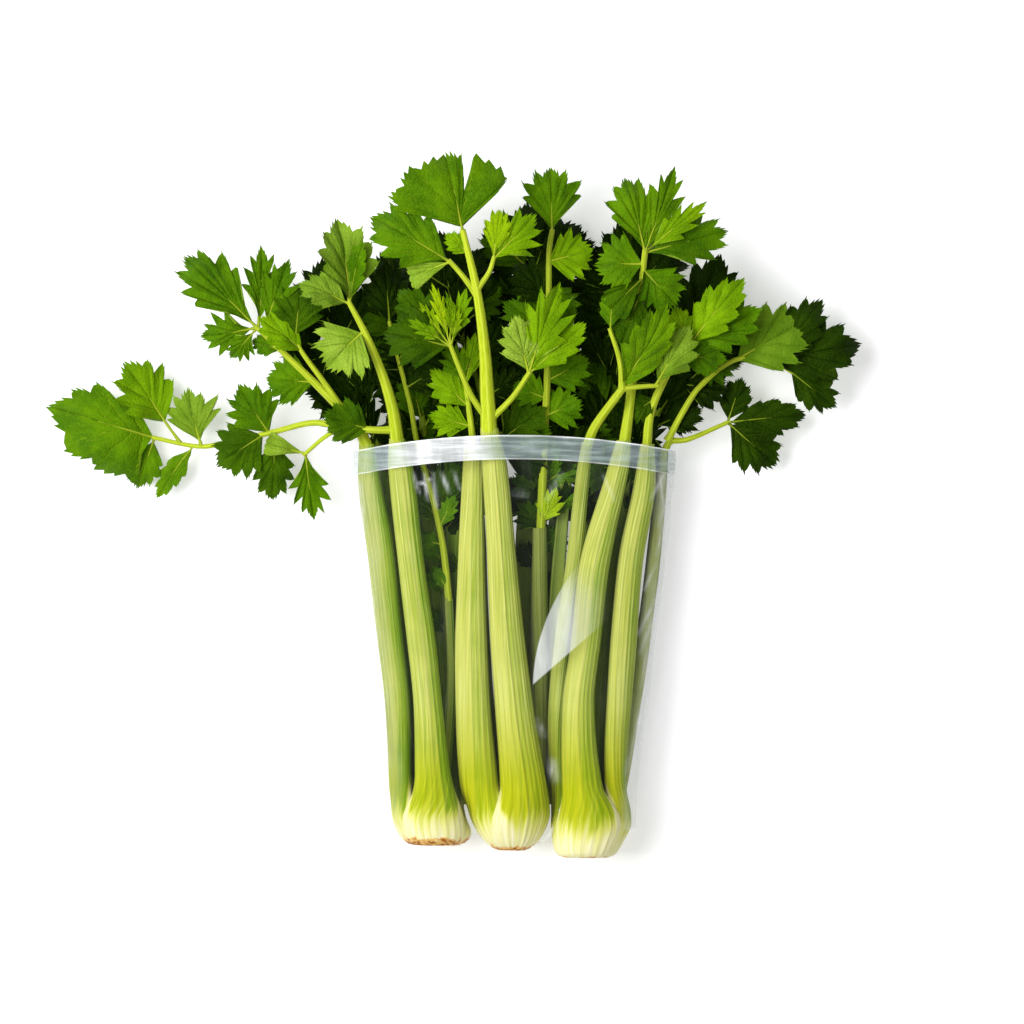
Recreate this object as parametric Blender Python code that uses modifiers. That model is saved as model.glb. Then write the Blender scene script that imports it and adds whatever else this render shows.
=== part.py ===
"""Three small heads of celery lying side by side in one clear film sleeve, butts at -Y, leaves at +Y."""
import math
import random

import bmesh
import bpy
from mathutils import Vector
from mathutils.bvhtree import BVHTree

# Driving dimensions, in millimetres.
BLADE = 0.8
FILM = 0.8
HEM = 1.5
GAP = 0.4
BUTT_TOP = 24.0
SLEEVE_FOOT = 16.0
SLEEVE_HEIGHT = 57.0
MOUTH_RISE = 9.0
HEM_DEEP = 14.0
STALKS_END = 246.0
THICK_STEM = 2.1
MM = 0.001

PALE_GREEN = (0.50, 0.62, 0.13, 1.0)
CREAM = (0.86, 0.82, 0.46, 1.0)
LEAF_GREEN = (0.10, 0.29, 0.02, 1.0)
FILM_WHITE = (0.85, 0.90, 0.92, 1.0)

# How far a leaflet's tip may be raised or lowered, in turn, to clear what it would cross.
TRIES = (0, 2, -2, 4, -4, 6, -6, 8, -8, 10, -10, 12, -12)

# Half of a leaflet from its blade's base to its apex: sideways and along, as parts of half its width and of
# its length.
TOOTHED = ((0.42, 0.17), (0.95, 0.30), (0.74, 0.41), (0.98, 0.58), (0.50, 0.58),
           (0.66, 0.80), (0.34, 0.80), (0.22, 0.94))
PLAIN = ((0.62, 0.20), (1.0, 0.45), (0.60, 0.58), (0.74, 0.80), (0.34, 0.80))

# Each stalk: rings of (along, across, up, width, outward roll in degrees), then its outer and inner points.
STALKS = {
    "left_stalk_1": (((24.4, -61.5, 28.5, 17, -62), (44.5, -63.6, 31, 14.5, -45),
                      (90, -65.3, 33, 15.4, -35),
                      (124, -69.5, 34, 15, -30), (180, -75.6, 34.5, 14.6, -25),
                      (236, -82, 35, 9.5, -20)), 11, 5),
    "left_stalk_2": (((24.4, -46.5, 39.5, 24, 0), (44.5, -45.8, 41, 19.4, 0), (90, -49.3, 42, 15.5, 0),
                      (124, -52.6, 42, 16.2, 0), (170, -58.1, 43, 15, 0), (224, -63.4, 44, 14.2, 0),
                      (239, -65.2, 44, 9, 0)), 11, 5),
    "left_stalk_3": (((24.4, -43, 27, 8, 20), (60, -37.5, 29, 6.5, 20), (100, -34.6, 30, 5.6, 20),
                      (148, -36, 31, 5, 10)), 7, 3),
    "left_stalk_4": (((24.4, -55, 11.5, 18, 205), (60, -56, 12, 14, 200), (124, -61, 13, 13, 195),
                      (180, -69, 14, 12.5, 190), (236, -76, 16, 8, 190)), 7, 3),
    "left_stalk_5": (((24.4, -34.5, 12, 18, 150), (60, -37, 12, 14, 165), (124, -41, 13, 13, 170),
                      (180, -46, 14, 12.5, 175), (236, -50, 16, 8, 180)), 7, 3),
    "middle_stalk_1": (((24.4, -15.6, 32, 21, -42), (44.5, -20.6, 34, 19, -32), (90, -23.4, 36, 17.5, -20),
                        (124, -23.8, 36.5, 17, -14), (170, -23, 36.5, 15.5, -12),
                        (236, -21.8, 35.5, 11, -10)), 11, 5),
    "middle_stalk_2": (((24.4, 7.5, 39, 29.6, 8), (44.5, 6.3, 41, 26, 5), (90, 0.5, 43, 20.3, 0),
                        (124, -3, 43.5, 19.1, 0), (170, -5.9, 44, 16.8, 0), (224, -10, 45, 14.3, 0),
                        (245, -12.9, 45.5, 10.5, 0)), 13, 5),
    "middle_stalk_3": (((24.4, 12.5, 23.5, 8, 70), (66, 16.2, 26, 9, 50), (124, 16.8, 28, 9, 40),
                        (188, 16.5, 30, 7, 20)), 7, 3),
    "middle_stalk_4": (((24.4, -12, 11, 20, 205), (60, -15, 12, 15, 200), (124, -19, 13, 13, 190),
                        (180, -21, 14, 12.5, 185), (236, -23, 15, 8, 180)), 7, 3),
    "middle_stalk_5": (((24.4, 12, 11, 20, 155), (60, 9, 12, 15, 160), (124, 6, 13, 13, 170),
                        (180, 6, 14, 12.5, 175), (236, 7, 15, 8, 180)), 7, 3),
    "middle_stalk_6": (((24.4, -2, 26.5, 8, 0), (66, -5, 27, 8, 0), (124, -8, 28, 8, 0),
                       (180, -9.5, 29, 7.5, 0),
                        (236, -10.5, 30, 6, 0)), 7, 3),
    "right_stalk_1": (((24.4, 28, 28, 11, -60), (67, 24.4, 33, 8, -30), (93, 24.9, 35, 7.6, -20),
                       (124, 28.2, 37, 7.6, -10), (170, 34.8, 40, 8, 0), (218, 40.4, 42, 8.2, 0),
                       (237, 43, 43, 6.4, 0)), 9, 3),
    "right_stalk_2": (((24.4, 43.5, 39.5, 28, -4), (44.5, 39.8, 41, 22.4, -3), (90, 37.5, 42, 17.7, 0),
                       (124, 41.6, 42.5, 16.4, 0), (170, 47.6, 43, 17, 0), (224, 61, 43.5, 12, 5),
                       (238, 63.8, 44, 8.5, 5)), 13, 5),
    "right_stalk_3": (((24.4, 60.8, 28.5, 14, 60), (44.5, 58.6, 32.5, 13.2, 40), (90, 61, 35, 14.8, 20),
                       (124, 63.6, 36, 15.6, 15), (170, 67.5, 36.5, 14.4, 12), (210, 74.4, 37, 10.8, 10),
                       (236, 76.6, 38, 7.5, 10)), 11, 5),
    "right_stalk_4": (((24.4, 59.5, 17.6, 8, 98), (60, 66.2, 21, 8.4, 80), (90, 70.4, 22, 9, 70),
                       (124, 75, 23, 9.6, 60), (195, 83.6, 25, 8, 50), (234, 87, 26, 5.5, 40)), 9, 3),
    "right_stalk_5": (((24.4, 35, 11.5, 19, 205), (60, 36, 12, 14, 195), (124, 41, 13, 13, 190),
                       (180, 46, 14, 12.5, 185), (236, 53, 15, 8, 180)), 7, 3),
    "right_stalk_6": (((24.4, 53, 10.5, 14, 160), (60, 56, 11, 13, 165), (124, 62, 12, 13, 170),
                       (180, 68, 13, 12.5, 170), (236, 75, 15, 8, 170)), 7, 3),
}

# Each head's butt: middle across, width, height, middle up, cut end's place along.
BUTTS = {
    "left_butt": (-46.2, 43.6, 44.0, 25.5, 7.0),
    "middle_butt": (-0.8, 46.0, 46.0, 26.0, 4.0),
    "right_butt": (45.3, 45.0, 45.0, 25.6, 0.0),
}

# The sleeve's edges: along, left, right.
SLEEVE = ((SLEEVE_FOOT, -71.0, 71.5), (34, -71.5, 72.0), (62, -73.0, 74.5), (98, -76.5, 79.5),
          (138, -81.5, 84.5), (180, -86.5, 89.5), (213, -90.0, 93.0))

# Each spray: its stems as (points of across, along, up; first and last radius), then its leaflets as
# (blade's base, tip, width, rise of the tip, whether toothed).
SPRAYS = {
    "left_leaves_1": (
        ((((-82.4, 236.4, 35.2), (-89, 247, 38), (-103.7, 262.2, 42), (-124, 282, 46),
          (-146, 303, 49)), 3.0, 1.3),
         (((-96, 255, 40), (-107, 271, 46), (-118, 286, 50), (-124, 296, 52)), 1.6, 1.1)),
        ((-148, 309, -189.2, 340, 32, 0, 1), (-148, 305, -176, 297, 22, -3, 1),
         (-149, 303, -160, 285.6, 16, -5, 0),
         (-140, 306, -142, 346.6, 20, 2, 1), (-137, 304, -127.5, 339, 22, 4, 1),
         (-125, 298, -120, 325, 26, 3, 1),
         (-120, 289, -143, 307, 16, 5, 0), (-131, 290, -148, 295, 11, -4, 0),
         (-113, 271, -138, 273, 25, -5, 1))),
    "left_leaves_2": (
        ((((-65.3, 239.4, 44), (-68, 256, 49), (-74.1, 276.5, 54), (-83, 298, 58),
          (-93, 317, 61)), 3.6, 1.4),
         (((-66.4, 244, 45.5), (-80, 244, 47), (-97, 246, 45), (-114.6, 248, 38), (-136.8, 242.8, 28),
           (-163, 237.1, 19), (-180.1, 234.8, 15), (-206.3, 240, 13)), 2.2, 1.2),
         (((-97, 246, 45), (-108, 239, 38), (-119, 229.7, 30)), 1.4, 1.1)),
        ((-206, 240, -262.6, 255.5, 50, 4, 1), (-207.5, 239, -215, 211.5, 19, -2, 0),
         (-186, 252, -218, 281, 33, 6, 1), (-180, 238, -172, 263, 24, 8, 1),
         (-183, 233, -203.5, 206.3, 13, -4, 0), (-139, 243, -155, 268, 26, 4, 1),
         (-141, 240, -167, 225, 29, -2, 1),
         (-134, 238, -137, 206, 21, -10, 1), (-120, 231, -139, 241, 13, 4, 0),
         (-118.5, 229, -113.5, 194, 19, -8, 1),
         (-80, 245, -106, 251, 16, 6, 0),
         (-93, 318, -98, 361, 38, 2, 1), (-95, 316, -119.7, 326.6, 18, 3, 0),
         (-82.6, 299, -105, 285, 32, 5, 1))),
    "left_leaves_3": (
        ((((-36, 148.4, 31), (-39, 175, 31), (-44, 200, 30), (-54, 236, 31), (-58, 258, 33), (-66, 289, 37),
           (-70, 306, 39)), 2.2, 1.1),),
        ((-38, 152, -44, 165, 7, 2, 0), (-42, 178, -54, 182, 8, 2, 0), (-41, 188, -33, 206, 9, 3, 0),
         (-70, 306, -73, 338, 24, 2, 1), (-65, 284, -48, 306, 22, 3, 1), (-60, 268, -44, 278, 18, 1, 0))),
    "left_leaves_4": (
        ((((-76.4, 236.4, 16), (-84, 258, 14), (-96, 286, 13), (-104, 304, 13)), 2.6, 1.2),),
        ((-102, 300, -128, 318, 32, 0, 0), (-104, 304, -108, 340, 32, 2, 0), (-99, 292, -80, 324, 34, 1, 0),
         (-92, 276, -118, 268, 28, -4, 0), (-88, 268, -76, 292, 24, 0, 0))),
    "left_leaves_5": (
        ((((-50, 236.4, 16), (-52, 262, 14), (-56, 300, 12), (-57, 316, 12)), 2.6, 1.2),),
        ((-57, 314, -74, 344, 34, 1, 0), (-57, 316, -44, 348, 33, 2, 0), (-56, 300, -30, 318, 32, 1, 0),
         (-55, 290, -84, 302, 34, 0, 0), (-53, 272, -32, 288, 30, 0, 0), (-52, 258, -74, 266, 28, 1, 0))),
    "middle_leaves_1": (
        ((((-21.9, 236.4, 35.5), (-24.5, 256, 40), (-27, 274, 44)), 2.2, 1.2),),
        ((-24.4, 246, -46, 252, 15, 2, 1), (-25.5, 257, -45, 277, 17, 2, 1), (-27, 272, -37, 293, 16, 2, 0),
         (-26.5, 270, -21, 298, 13, 2, 0))),
    "middle_leaves_2": (
        ((((-13.1, 245.4, 45.5), (-14.3, 268, 52), (-15.6, 290, 60), (-20, 323, 70),
          (-28, 357, 77)), 4.4, 1.7),
         (((-13.4, 249, 47), (-24, 265, 54), (-35.3, 292.4, 62)), 2.0, 1.3),
         (((-13, 249, 47), (0, 262, 52), (10.3, 277, 57)), 2.0, 1.4),
         (((-20.4, 321, 69.1), (-28, 331, 71), (-36, 340, 72)), 1.8, 1.3),
         (((-19.6, 323.4, 70.3), (-13, 333, 71), (-10, 342, 72)), 1.6, 1.2)),
        ((-28, 359, -40, 401, 48, 2, 1), (-27.4, 358, -7, 391, 25, 2, 1), (-29, 358, -67, 377, 30, 0, 1),
         (-37, 341, -77.5, 363.7, 29, 0, 1), (-37, 339, -58, 321, 20, -4, 0),
         (-25, 344, -37, 354, 11, 2, 0),
         (-10, 342, -7, 366, 14, 3, 0), (-9.5, 342, 12, 364, 28, 1, 1),
         (-36, 293, -51, 320, 22, 4, 1), (-35.6, 293, -39, 324, 13, 6, 0),
         (-36.5, 291, -71, 299, 30, -3, 1),
         (-37, 295, -63, 322, 24, -4, 1), (-34, 295, -26, 323, 13, 2, 0),
         (9.6, 278, 2, 307, 22, 4, 1), (11, 278, 26, 325, 26, 3, 1), (11.6, 277, 41, 303, 17, 0, 1))),
    "middle_leaves_3": (
        ((((16.5, 188.4, 30), (17.5, 214, 31), (18.5, 240, 32), (20, 270, 36), (21, 310, 42),
          (21.1, 344, 47),
           (23, 358, 49)), 2.8, 1.4),),
        ((17, 200, 27, 216, 11, 2, 0), (23, 358, 27, 391, 30, 3, 1), (21, 340, 44, 346, 26, 1, 1),
         (21, 324, 35, 309, 19, -2, 0), (21, 318, 3, 337, 24, 1, 1), (20, 272, 40, 282, 20, 2, 1),
         (19, 252, 37, 257, 20, 2, 1), (20, 262, 3, 268, 16, 1, 0), (19, 244, 2, 249, 14, 1, 0))),
    "middle_leaves_4": (
        ((((-23, 236.4, 15), (-28, 262, 9), (-36, 300, 6), (-40, 316, 6)), 2.6, 1.2),),
        ((-38, 308, -66, 320, 32, 0, 0), (-40, 314, -54, 348, 32, 0, 0), (-36, 300, -12, 316, 32, 0, 0),
         (-33, 288, -60, 284, 28, 0, 0), (-30, 272, -6, 288, 30, 0, 0), (-26, 254, -48, 262, 24, 0, 0))),
    "middle_leaves_5": (
        ((((7, 236.4, 15), (8, 262, 12), (11, 304, 10), (12, 340, 10)), 2.6, 1.2),),
        ((11, 334, -14, 358, 34, 0, 0), (12, 340, 8, 372, 32, 1, 0), (12, 336, 38, 360, 34, 0, 0),
         (11, 312, 42, 326, 34, 0, 0), (11, 306, -16, 330, 34, 0, 0), (9, 278, -12, 296, 28, 0, 0),
         (9, 282, 38, 298, 34, 0, 0), (8, 256, 32, 268, 28, 0, 0), (8, 250, -12, 262, 22, 0, 0))),
    "middle_leaves_6": (
        ((((-10.6, 236.4, 30), (-17, 262, 29), (-28, 296, 28), (-36, 326, 28)), 2.4, 1.2),),
        ((-36, 325, -64, 343, 28, 0, 1), (-36, 326, -44, 356, 27, 1, 1), (-34, 318, -18, 346, 24, 1, 0),
         (-29, 300, -56, 306, 26, 0, 0), (-26, 288, -8, 308, 22, 0, 0), (-21, 264, -4, 272, 18, 0, 0))),
    "right_leaves_1": (
        ((((43.1, 237.4, 43), (48, 247, 47), (62.7, 267.3, 55)), 2.9, 2.2),
         (((62.7, 267.3, 55), (61, 284, 60), (55.3, 301.5, 63)), 1.9, 1.2),
         (((62.7, 267.3, 55), (72, 268.4, 55), (83, 269, 53)), 1.7, 1.2)),
        ((63.5, 269, 88, 312, 23, 3, 1), (55, 302, 57, 322, 12, 2, 0), (84, 269, 98, 300, 21, 2, 1))),
    "right_leaves_2": (
        ((((64, 238.4, 44), (67.5, 262, 48), (70.5, 300, 64), (75.5, 346, 74)), 3.4, 1.6),),
        ((75, 347, 63, 384, 25, 2, 1), (76, 347, 92, 391, 21, 3, 1), (77, 346, 113, 370, 24, 2, 1),
         (77, 343, 121, 352, 25, -1, 1), (73.6, 338, 49, 338, 30, -3, 1), (73, 332, 58, 317, 17, -5, 0),
         (73.6, 335, 92, 316, 26, -4, 1))),
    "right_leaves_3": (
        ((((76.8, 236.4, 38), (79, 254, 40), (87, 273, 43), (95, 286, 45), (101.5, 293, 46)), 2.8, 1.4),),
        ((101.5, 294, 131, 329, 21, 4, 1), (102.5, 292, 140, 312, 25, 1, 1), (100, 293, 93, 313, 15, 2, 0),
         (97, 286, 121, 284, 19, 0, 0), (84, 262, 66, 252, 16, 0, 0))),
    "right_leaves_4": (
        ((((87.3, 234.4, 26), (91, 237.6, 25.5), (101.5, 239, 23), (124.8, 249.1, 18)), 2.2, 1.2),
         (((89, 238, 26), (98, 255, 29), (108, 269.6, 30), (127, 284, 30), (147, 284, 28),
           (162, 276, 24)), 2.0, 1.1)),
        ((124.6, 250, 131, 273, 17, 4, 1), (126, 249.6, 167, 253, 19, 0, 1),
         (126, 248, 150, 225, 27, -3, 1),
         (128, 285, 166, 306, 35, 4, 1), (148, 284, 197, 293, 31, -2, 1), (150, 286, 176, 316, 22, 6, 0),
         (160, 277, 184, 258, 22, -4, 1))),
    "right_leaves_5": (
        ((((53, 236.4, 15), (58, 262, 12), (65, 300, 10), (69, 326, 10)), 2.6, 1.2),),
        ((68, 322, 42, 346, 34, 0, 0), (69, 326, 64, 362, 33, 0, 0), (69, 324, 94, 350, 34, 0, 0),
         (65, 302, 38, 316, 32, 0, 0), (66, 304, 94, 318, 34, 0, 0), (62, 282, 36, 284, 30, 0, 0),
         (59, 266, 84, 280, 30, 0, 0), (56, 254, 38, 258, 24, 0, 0))),
    "right_leaves_6": (
        ((((75, 236.4, 15), (86, 260, 20), (100, 286, 24)), 2.6, 1.2),),
        ((100, 286, 118, 342, 34, 1, 0), (100, 285, 136, 304, 32, 0, 0), (97, 280, 92, 318, 30, 1, 0),
         (92, 270, 120, 272, 26, 0, 0), (84, 256, 106, 251, 22, 0, 0), (85, 258, 66, 270, 22, 1, 0))),
}


for old in list(bpy.data.objects):
    bpy.data.objects.remove(old, do_unlink=True)
parts = bpy.data.collections.new("Celery in a sleeve")
cutters = bpy.data.collections.new("Union pieces")
cutters.hide_render = True
bpy.context.scene.collection.children.link(parts)
bpy.context.scene.collection.children.link(cutters)


def material(name, colour, rough, alpha=1.0):
    """A Principled material of one colour."""
    made = bpy.data.materials.new(name)
    made.use_nodes = True
    shader = made.node_tree.nodes["Principled BSDF"]
    shader.inputs["Base Color"].default_value = colour
    shader.inputs["Roughness"].default_value = rough
    shader.inputs["Metallic"].default_value = 0.0
    shader.inputs["Alpha"].default_value = alpha
    return made


def from_bmesh(name, bm, collection):
    """An object in the collection, made from the bmesh, with its faces pointing out."""
    bmesh.ops.recalc_face_normals(bm, faces=bm.faces)
    mesh = bpy.data.meshes.new(name)
    bm.to_mesh(mesh)
    bm.free()
    made = bpy.data.objects.new(name, mesh)
    collection.objects.link(made)
    return made


def finished(made, skin):
    """Gives a piece its material and smooth shading up to an edge of forty degrees."""
    made.data.materials.clear()
    made.data.materials.append(skin)
    made.data.shade_smooth()
    made.data.set_sharp_from_angle(angle=math.radians(40))


def loft(name, rings, collection, capped=True):
    """A tube through rings of points of equal count, closed by a face at each end."""
    bm = bmesh.new()
    rows = [[bm.verts.new(Vector(point) * MM) for point in ring] for ring in rings]
    count = len(rows[0])
    for low, high in zip(rows, rows[1:]):
        for i in range(count):
            j = (i + 1) % count
            bm.faces.new((low[i], low[j], high[j], high[i]))
    if capped:
        bm.faces.new(rows[0][::-1])
        bm.faces.new(rows[-1])
    return from_bmesh(name, bm, collection)


def between(rows, at):
    """The values at a place along smooth curves through the rows, whose first value is the place."""
    k = max(i for i in range(len(rows) - 1) if rows[i][0] <= at + 1e-9)
    a, b = rows[k], rows[k + 1]
    before, after = rows[max(k - 1, 0)], rows[min(k + 2, len(rows) - 1)]
    t = (at - a[0]) / (b[0] - a[0])
    found = []
    for i in range(1, len(a)):
        leave = (b[i] - before[i]) / (b[0] - before[0]) * (b[0] - a[0])
        arrive = (after[i] - a[i]) / (after[0] - a[0]) * (b[0] - a[0])
        found.append((2 * t**3 - 3 * t**2 + 1) * a[i] + (t**3 - 2 * t**2 + t) * leave
                     + (3 * t**2 - 2 * t**3) * b[i] + (t**3 - t**2) * arrive)
    return found


def crescent(width, outer, inner, rib):
    """A stalk's section: a ribbed convex back and a shallow channel, as (sideways, outward)."""
    high = 0.34 * width
    wall = 0.50 * width
    points = []
    for i in range(outer):
        turn = math.pi * (i / (outer - 1) - 0.5)
        ridge = rib if i % 2 else -rib
        ridge = 0.0 if i in (0, outer - 1) else ridge
        out = (high + ridge) * max(0.0, math.cos(turn)) ** 0.8
        points.append((0.5 * width * math.sin(turn), out))
    for i in range(inner):
        side = 1 - 2 * (i + 0.5) / inner
        arch = 1 - side * side
        points.append((0.45 * width * side, high * arch - wall * (0.62 + 0.38 * arch)))
    return points


def stalk(name, rows, outer, inner, rings):
    """A leaf stalk, lofted from crescents whose backs turn outward from the head's middle."""
    first, last = rows[0][0], rows[-1][0]
    sections = []
    for k in range(rings):
        share = k / (rings - 1)
        along = first + (last - first) * (0.25 * share * share + 0.75 * share)
        across, up, width, roll = between(rows, min(along, last - 1e-6))
        c, s = math.cos(math.radians(roll)), math.sin(math.radians(roll))
        shape = crescent(width, outer, inner, min(0.45, 0.028 * width))
        sections.append([(across + a * c + b * s, along, up - a * s + b * c) for a, b in shape])
    made = loft(name, sections, parts)
    finished(made, stalk_skin)
    return made


def butt(name, across, width, height, up, end):
    """The solid foot that a head's stalks grow from: ribbed, rounded in toward a flat cut end."""
    steps = ((0.0, 0.42), (1.2, 0.60), (4.0, 0.80), (9.0, 0.95), (BUTT_TOP - end, 1.0))
    rings = []
    for rise, share in steps:
        ring = []
        for i in range(18):
            turn = math.tau * i / 18
            bulge = share * (1.0 + (0.012 if i % 2 else -0.012))
            c, s = math.cos(turn), math.sin(turn)
            ring.append((across + 0.5 * width * bulge * math.copysign(abs(c) ** 0.85, c), end + rise,
                         up + 0.5 * height * bulge * math.copysign(abs(s) ** 0.85, s)))
        rings.append(ring)
    made = loft(name, rings, parts)
    finished(made, butt_skin)
    return made


def sleeve_ring(along, left, right, count, rise):
    """One ring of the sleeve: flat below, round at its sides, bowed on top; its middle runs further along."""
    middle, half = 0.5 * (left + right), 0.5 * (right - left)
    ring = []
    for i in range(count):
        turn = math.tau * (i + 0.5) / count
        c, s = math.cos(turn), math.sin(turn)
        x = math.copysign(abs(c) ** 0.62, c)
        z = abs(s) ** 0.62 if s > 0 else -abs(s) ** 0.40
        up = 0.5 * SLEEVE_HEIGHT * (1 + z)
        up = 0.0 if up < 0.12 * SLEEVE_HEIGHT else up
        ring.append((middle + half * x, along + rise * (1 - x * x), up))
    return ring


def sleeve():
    """The film: one open surface made solid inward, thicker along the hem at its mouth."""
    count = 26
    rings = [sleeve_ring(along, left, right, count, MOUTH_RISE * (along / SLEEVE[-1][0]) ** 2)
             for along, left, right in SLEEVE]
    thin_rings = len(rings) + 1
    last, left, right = SLEEVE[-1]
    for further, wider in ((4.0, 0.3), (5.0, 0.4), (5.0 + HEM_DEEP, 1.2)):
        rings.append(sleeve_ring(last + further, left - wider, right + wider, count, MOUTH_RISE))
    made = loft("sleeve", rings, parts, capped=False)
    group = made.vertex_groups.new(name="film")
    group.add(list(range(count * thin_rings)), FILM / HEM, "REPLACE")
    group.add(list(range(count * thin_rings, count * len(rings))), 1.0, "REPLACE")
    wall = made.modifiers.new("Film", "SOLIDIFY")
    wall.thickness = HEM * MM
    wall.offset = -1.0
    wall.vertex_group = "film"
    wall.use_even_offset = True
    finished(made, film_skin)
    return made


def stem(points, first, last):
    """A tapering stem through the points, a closed mesh object. One on a stalk sets out in line with it."""
    if points[0][1] < STALKS_END and first > THICK_STEM:
        points = (points[0], (points[0][0], points[0][1] + 2.4, points[0][2])) + tuple(points[1:])
    curve = bpy.data.curves.new("stem", "CURVE")
    curve.dimensions = "3D"
    curve.bevel_depth = MM
    curve.bevel_resolution = 1 if first > THICK_STEM else 0
    curve.use_fill_caps = True
    spline = curve.splines.new("POLY")
    spline.points.add(len(points) - 1)
    for i, (spot, place) in enumerate(zip(spline.points, points)):
        spot.co = (place[0] * MM, place[1] * MM, place[2] * MM, 1.0)
        spot.radius = first + (last - first) * i / (len(points) - 1)
    drawn = bpy.data.objects.new("stem", curve)
    cutters.objects.link(drawn)
    bpy.context.view_layer.update()
    mesh = bpy.data.meshes.new_from_object(drawn.evaluated_get(bpy.context.evaluated_depsgraph_get()))
    bpy.data.objects.remove(drawn, do_unlink=True)
    bm = bmesh.new()
    bm.from_mesh(mesh)
    bmesh.ops.remove_doubles(bm, verts=bm.verts, dist=1e-6)
    bmesh.ops.triangulate(bm, faces=bm.faces)
    return from_bmesh("stem", bm, cutters)


def nearest(stems, spot, inside):
    """The point on the stems' middle lines nearest the spot from above, a little inside of a stem's end."""
    best, least = None, 1e9
    for points, _, _ in stems:
        for a, b in zip(points, points[1:]):
            a, b = Vector(a), Vector(b)
            run = (b - a).xy
            most = 1.0 - (inside / (b - a).length if b == Vector(points[-1]) else 0.0)
            t = max(0.0, min(most, (Vector(spot) - a.xy).dot(run) / run.length_squared))
            found = a.lerp(b, t)
            if (found.xy - Vector(spot)).length < least:
                best, least = found, (found.xy - Vector(spot)).length
    return best


def leaflet(root, spot, tip, width, toothed, thick, chance):
    """A lobed leaflet: halves drawn flat, cupped and bowed, then made solid, its narrow base in the stem."""
    long = (tip - root).length
    start = max(0.10, (Vector(spot) - root.xy).length / long)
    along = (tip - root).normalized()
    side = along.cross(Vector((0, 0, 1))).normalized()
    up = side.cross(along).normalized()
    bm = bmesh.new()
    shape = TOOTHED if toothed else PLAIN
    marks = (0.30, 0.62, 1.0) if toothed else (0.50, 1.0)
    ribs = [bm.verts.new((0, start + (1 - start) * v, 0)) for v in marks]
    sides = []
    for hand in (-1, 1):
        edge = [bm.verts.new((hand * 0.9 / long, 0, 0)), bm.verts.new((hand * 1.1 / long, start, 0))]
        for u, v in shape:
            u = 0.5 * width / long * u * chance.uniform(0.90, 1.08)
            v = start + (1 - start) * (v + chance.uniform(-0.015, 0.015))
            edge.append(bm.verts.new((hand * u, v, 0)))
        bm.faces.new(edge[1:] + ribs[::-1])
        sides.append(edge)
    bm.faces.new((sides[0][0], sides[0][1], ribs[0], sides[1][1], sides[1][0]))
    bm.normal_update()
    bmesh.ops.triangulate(bm, faces=bm.faces, ngon_method="EAR_CLIP")
    cup = chance.uniform(0.04, 0.16) * width
    bow = chance.uniform(-0.02, 0.05) * long
    for vert in bm.verts:
        u, v = vert.co.x * long, vert.co.y
        lift = cup * (2 * u / width) ** 2 * (1 if v > start else 0) + bow * math.sin(math.pi * v)
        vert.co = (root + along * long * v + side * u + up * lift) * MM
    grown = bmesh.ops.extrude_face_region(bm, geom=bm.faces[:] + bm.edges[:], use_keep_orig=True)["geom"]
    top = [v for v in grown if isinstance(v, bmesh.types.BMVert)]
    bmesh.ops.translate(bm, verts=top, vec=up * thick * MM)
    bmesh.ops.triangulate(bm, faces=bm.faces)
    bmesh.ops.recalc_face_normals(bm, faces=bm.faces)
    return bm


def tree(mesh_object):
    """The evaluated surface of an object, for finding crossings."""
    shown = mesh_object.evaluated_get(bpy.context.evaluated_depsgraph_get())
    mesh = shown.to_mesh()
    mesh.calc_loop_triangles()
    points = [mesh_object.matrix_world @ v.co for v in mesh.vertices]
    faces = [tuple(t.vertices) for t in mesh.loop_triangles]
    found = BVHTree.FromPolygons(points, faces, epsilon=GAP * MM)
    shown.to_mesh_clear()
    return found


def blade_tree(bm, root, reach):
    """The leaflet's surface further than reach from its root."""
    far = [(v.co - root * MM).length > reach * MM for v in bm.verts]
    bm.verts.index_update()
    faces = [tuple(v.index for v in f.verts) for f in bm.faces if all(far[v.index] for v in f.verts)]
    return BVHTree.FromPolygons([v.co for v in bm.verts], faces, epsilon=0.1 * MM)


stalk_skin = material("Celery stalk", PALE_GREEN, 0.45)
butt_skin = material("Celery butt", CREAM, 0.55)
leaf_skin = material("Celery leaf", LEAF_GREEN, 0.5)
film_skin = material("Clear film", FILM_WHITE, 0.15, 0.35)

for name, sizes in BUTTS.items():
    butt(name, *sizes)
for name, (rows, outer, inner) in STALKS.items():
    stalk(name, rows, outer, inner, 9 if outer > 8 else 7)
sleeve()

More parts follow.
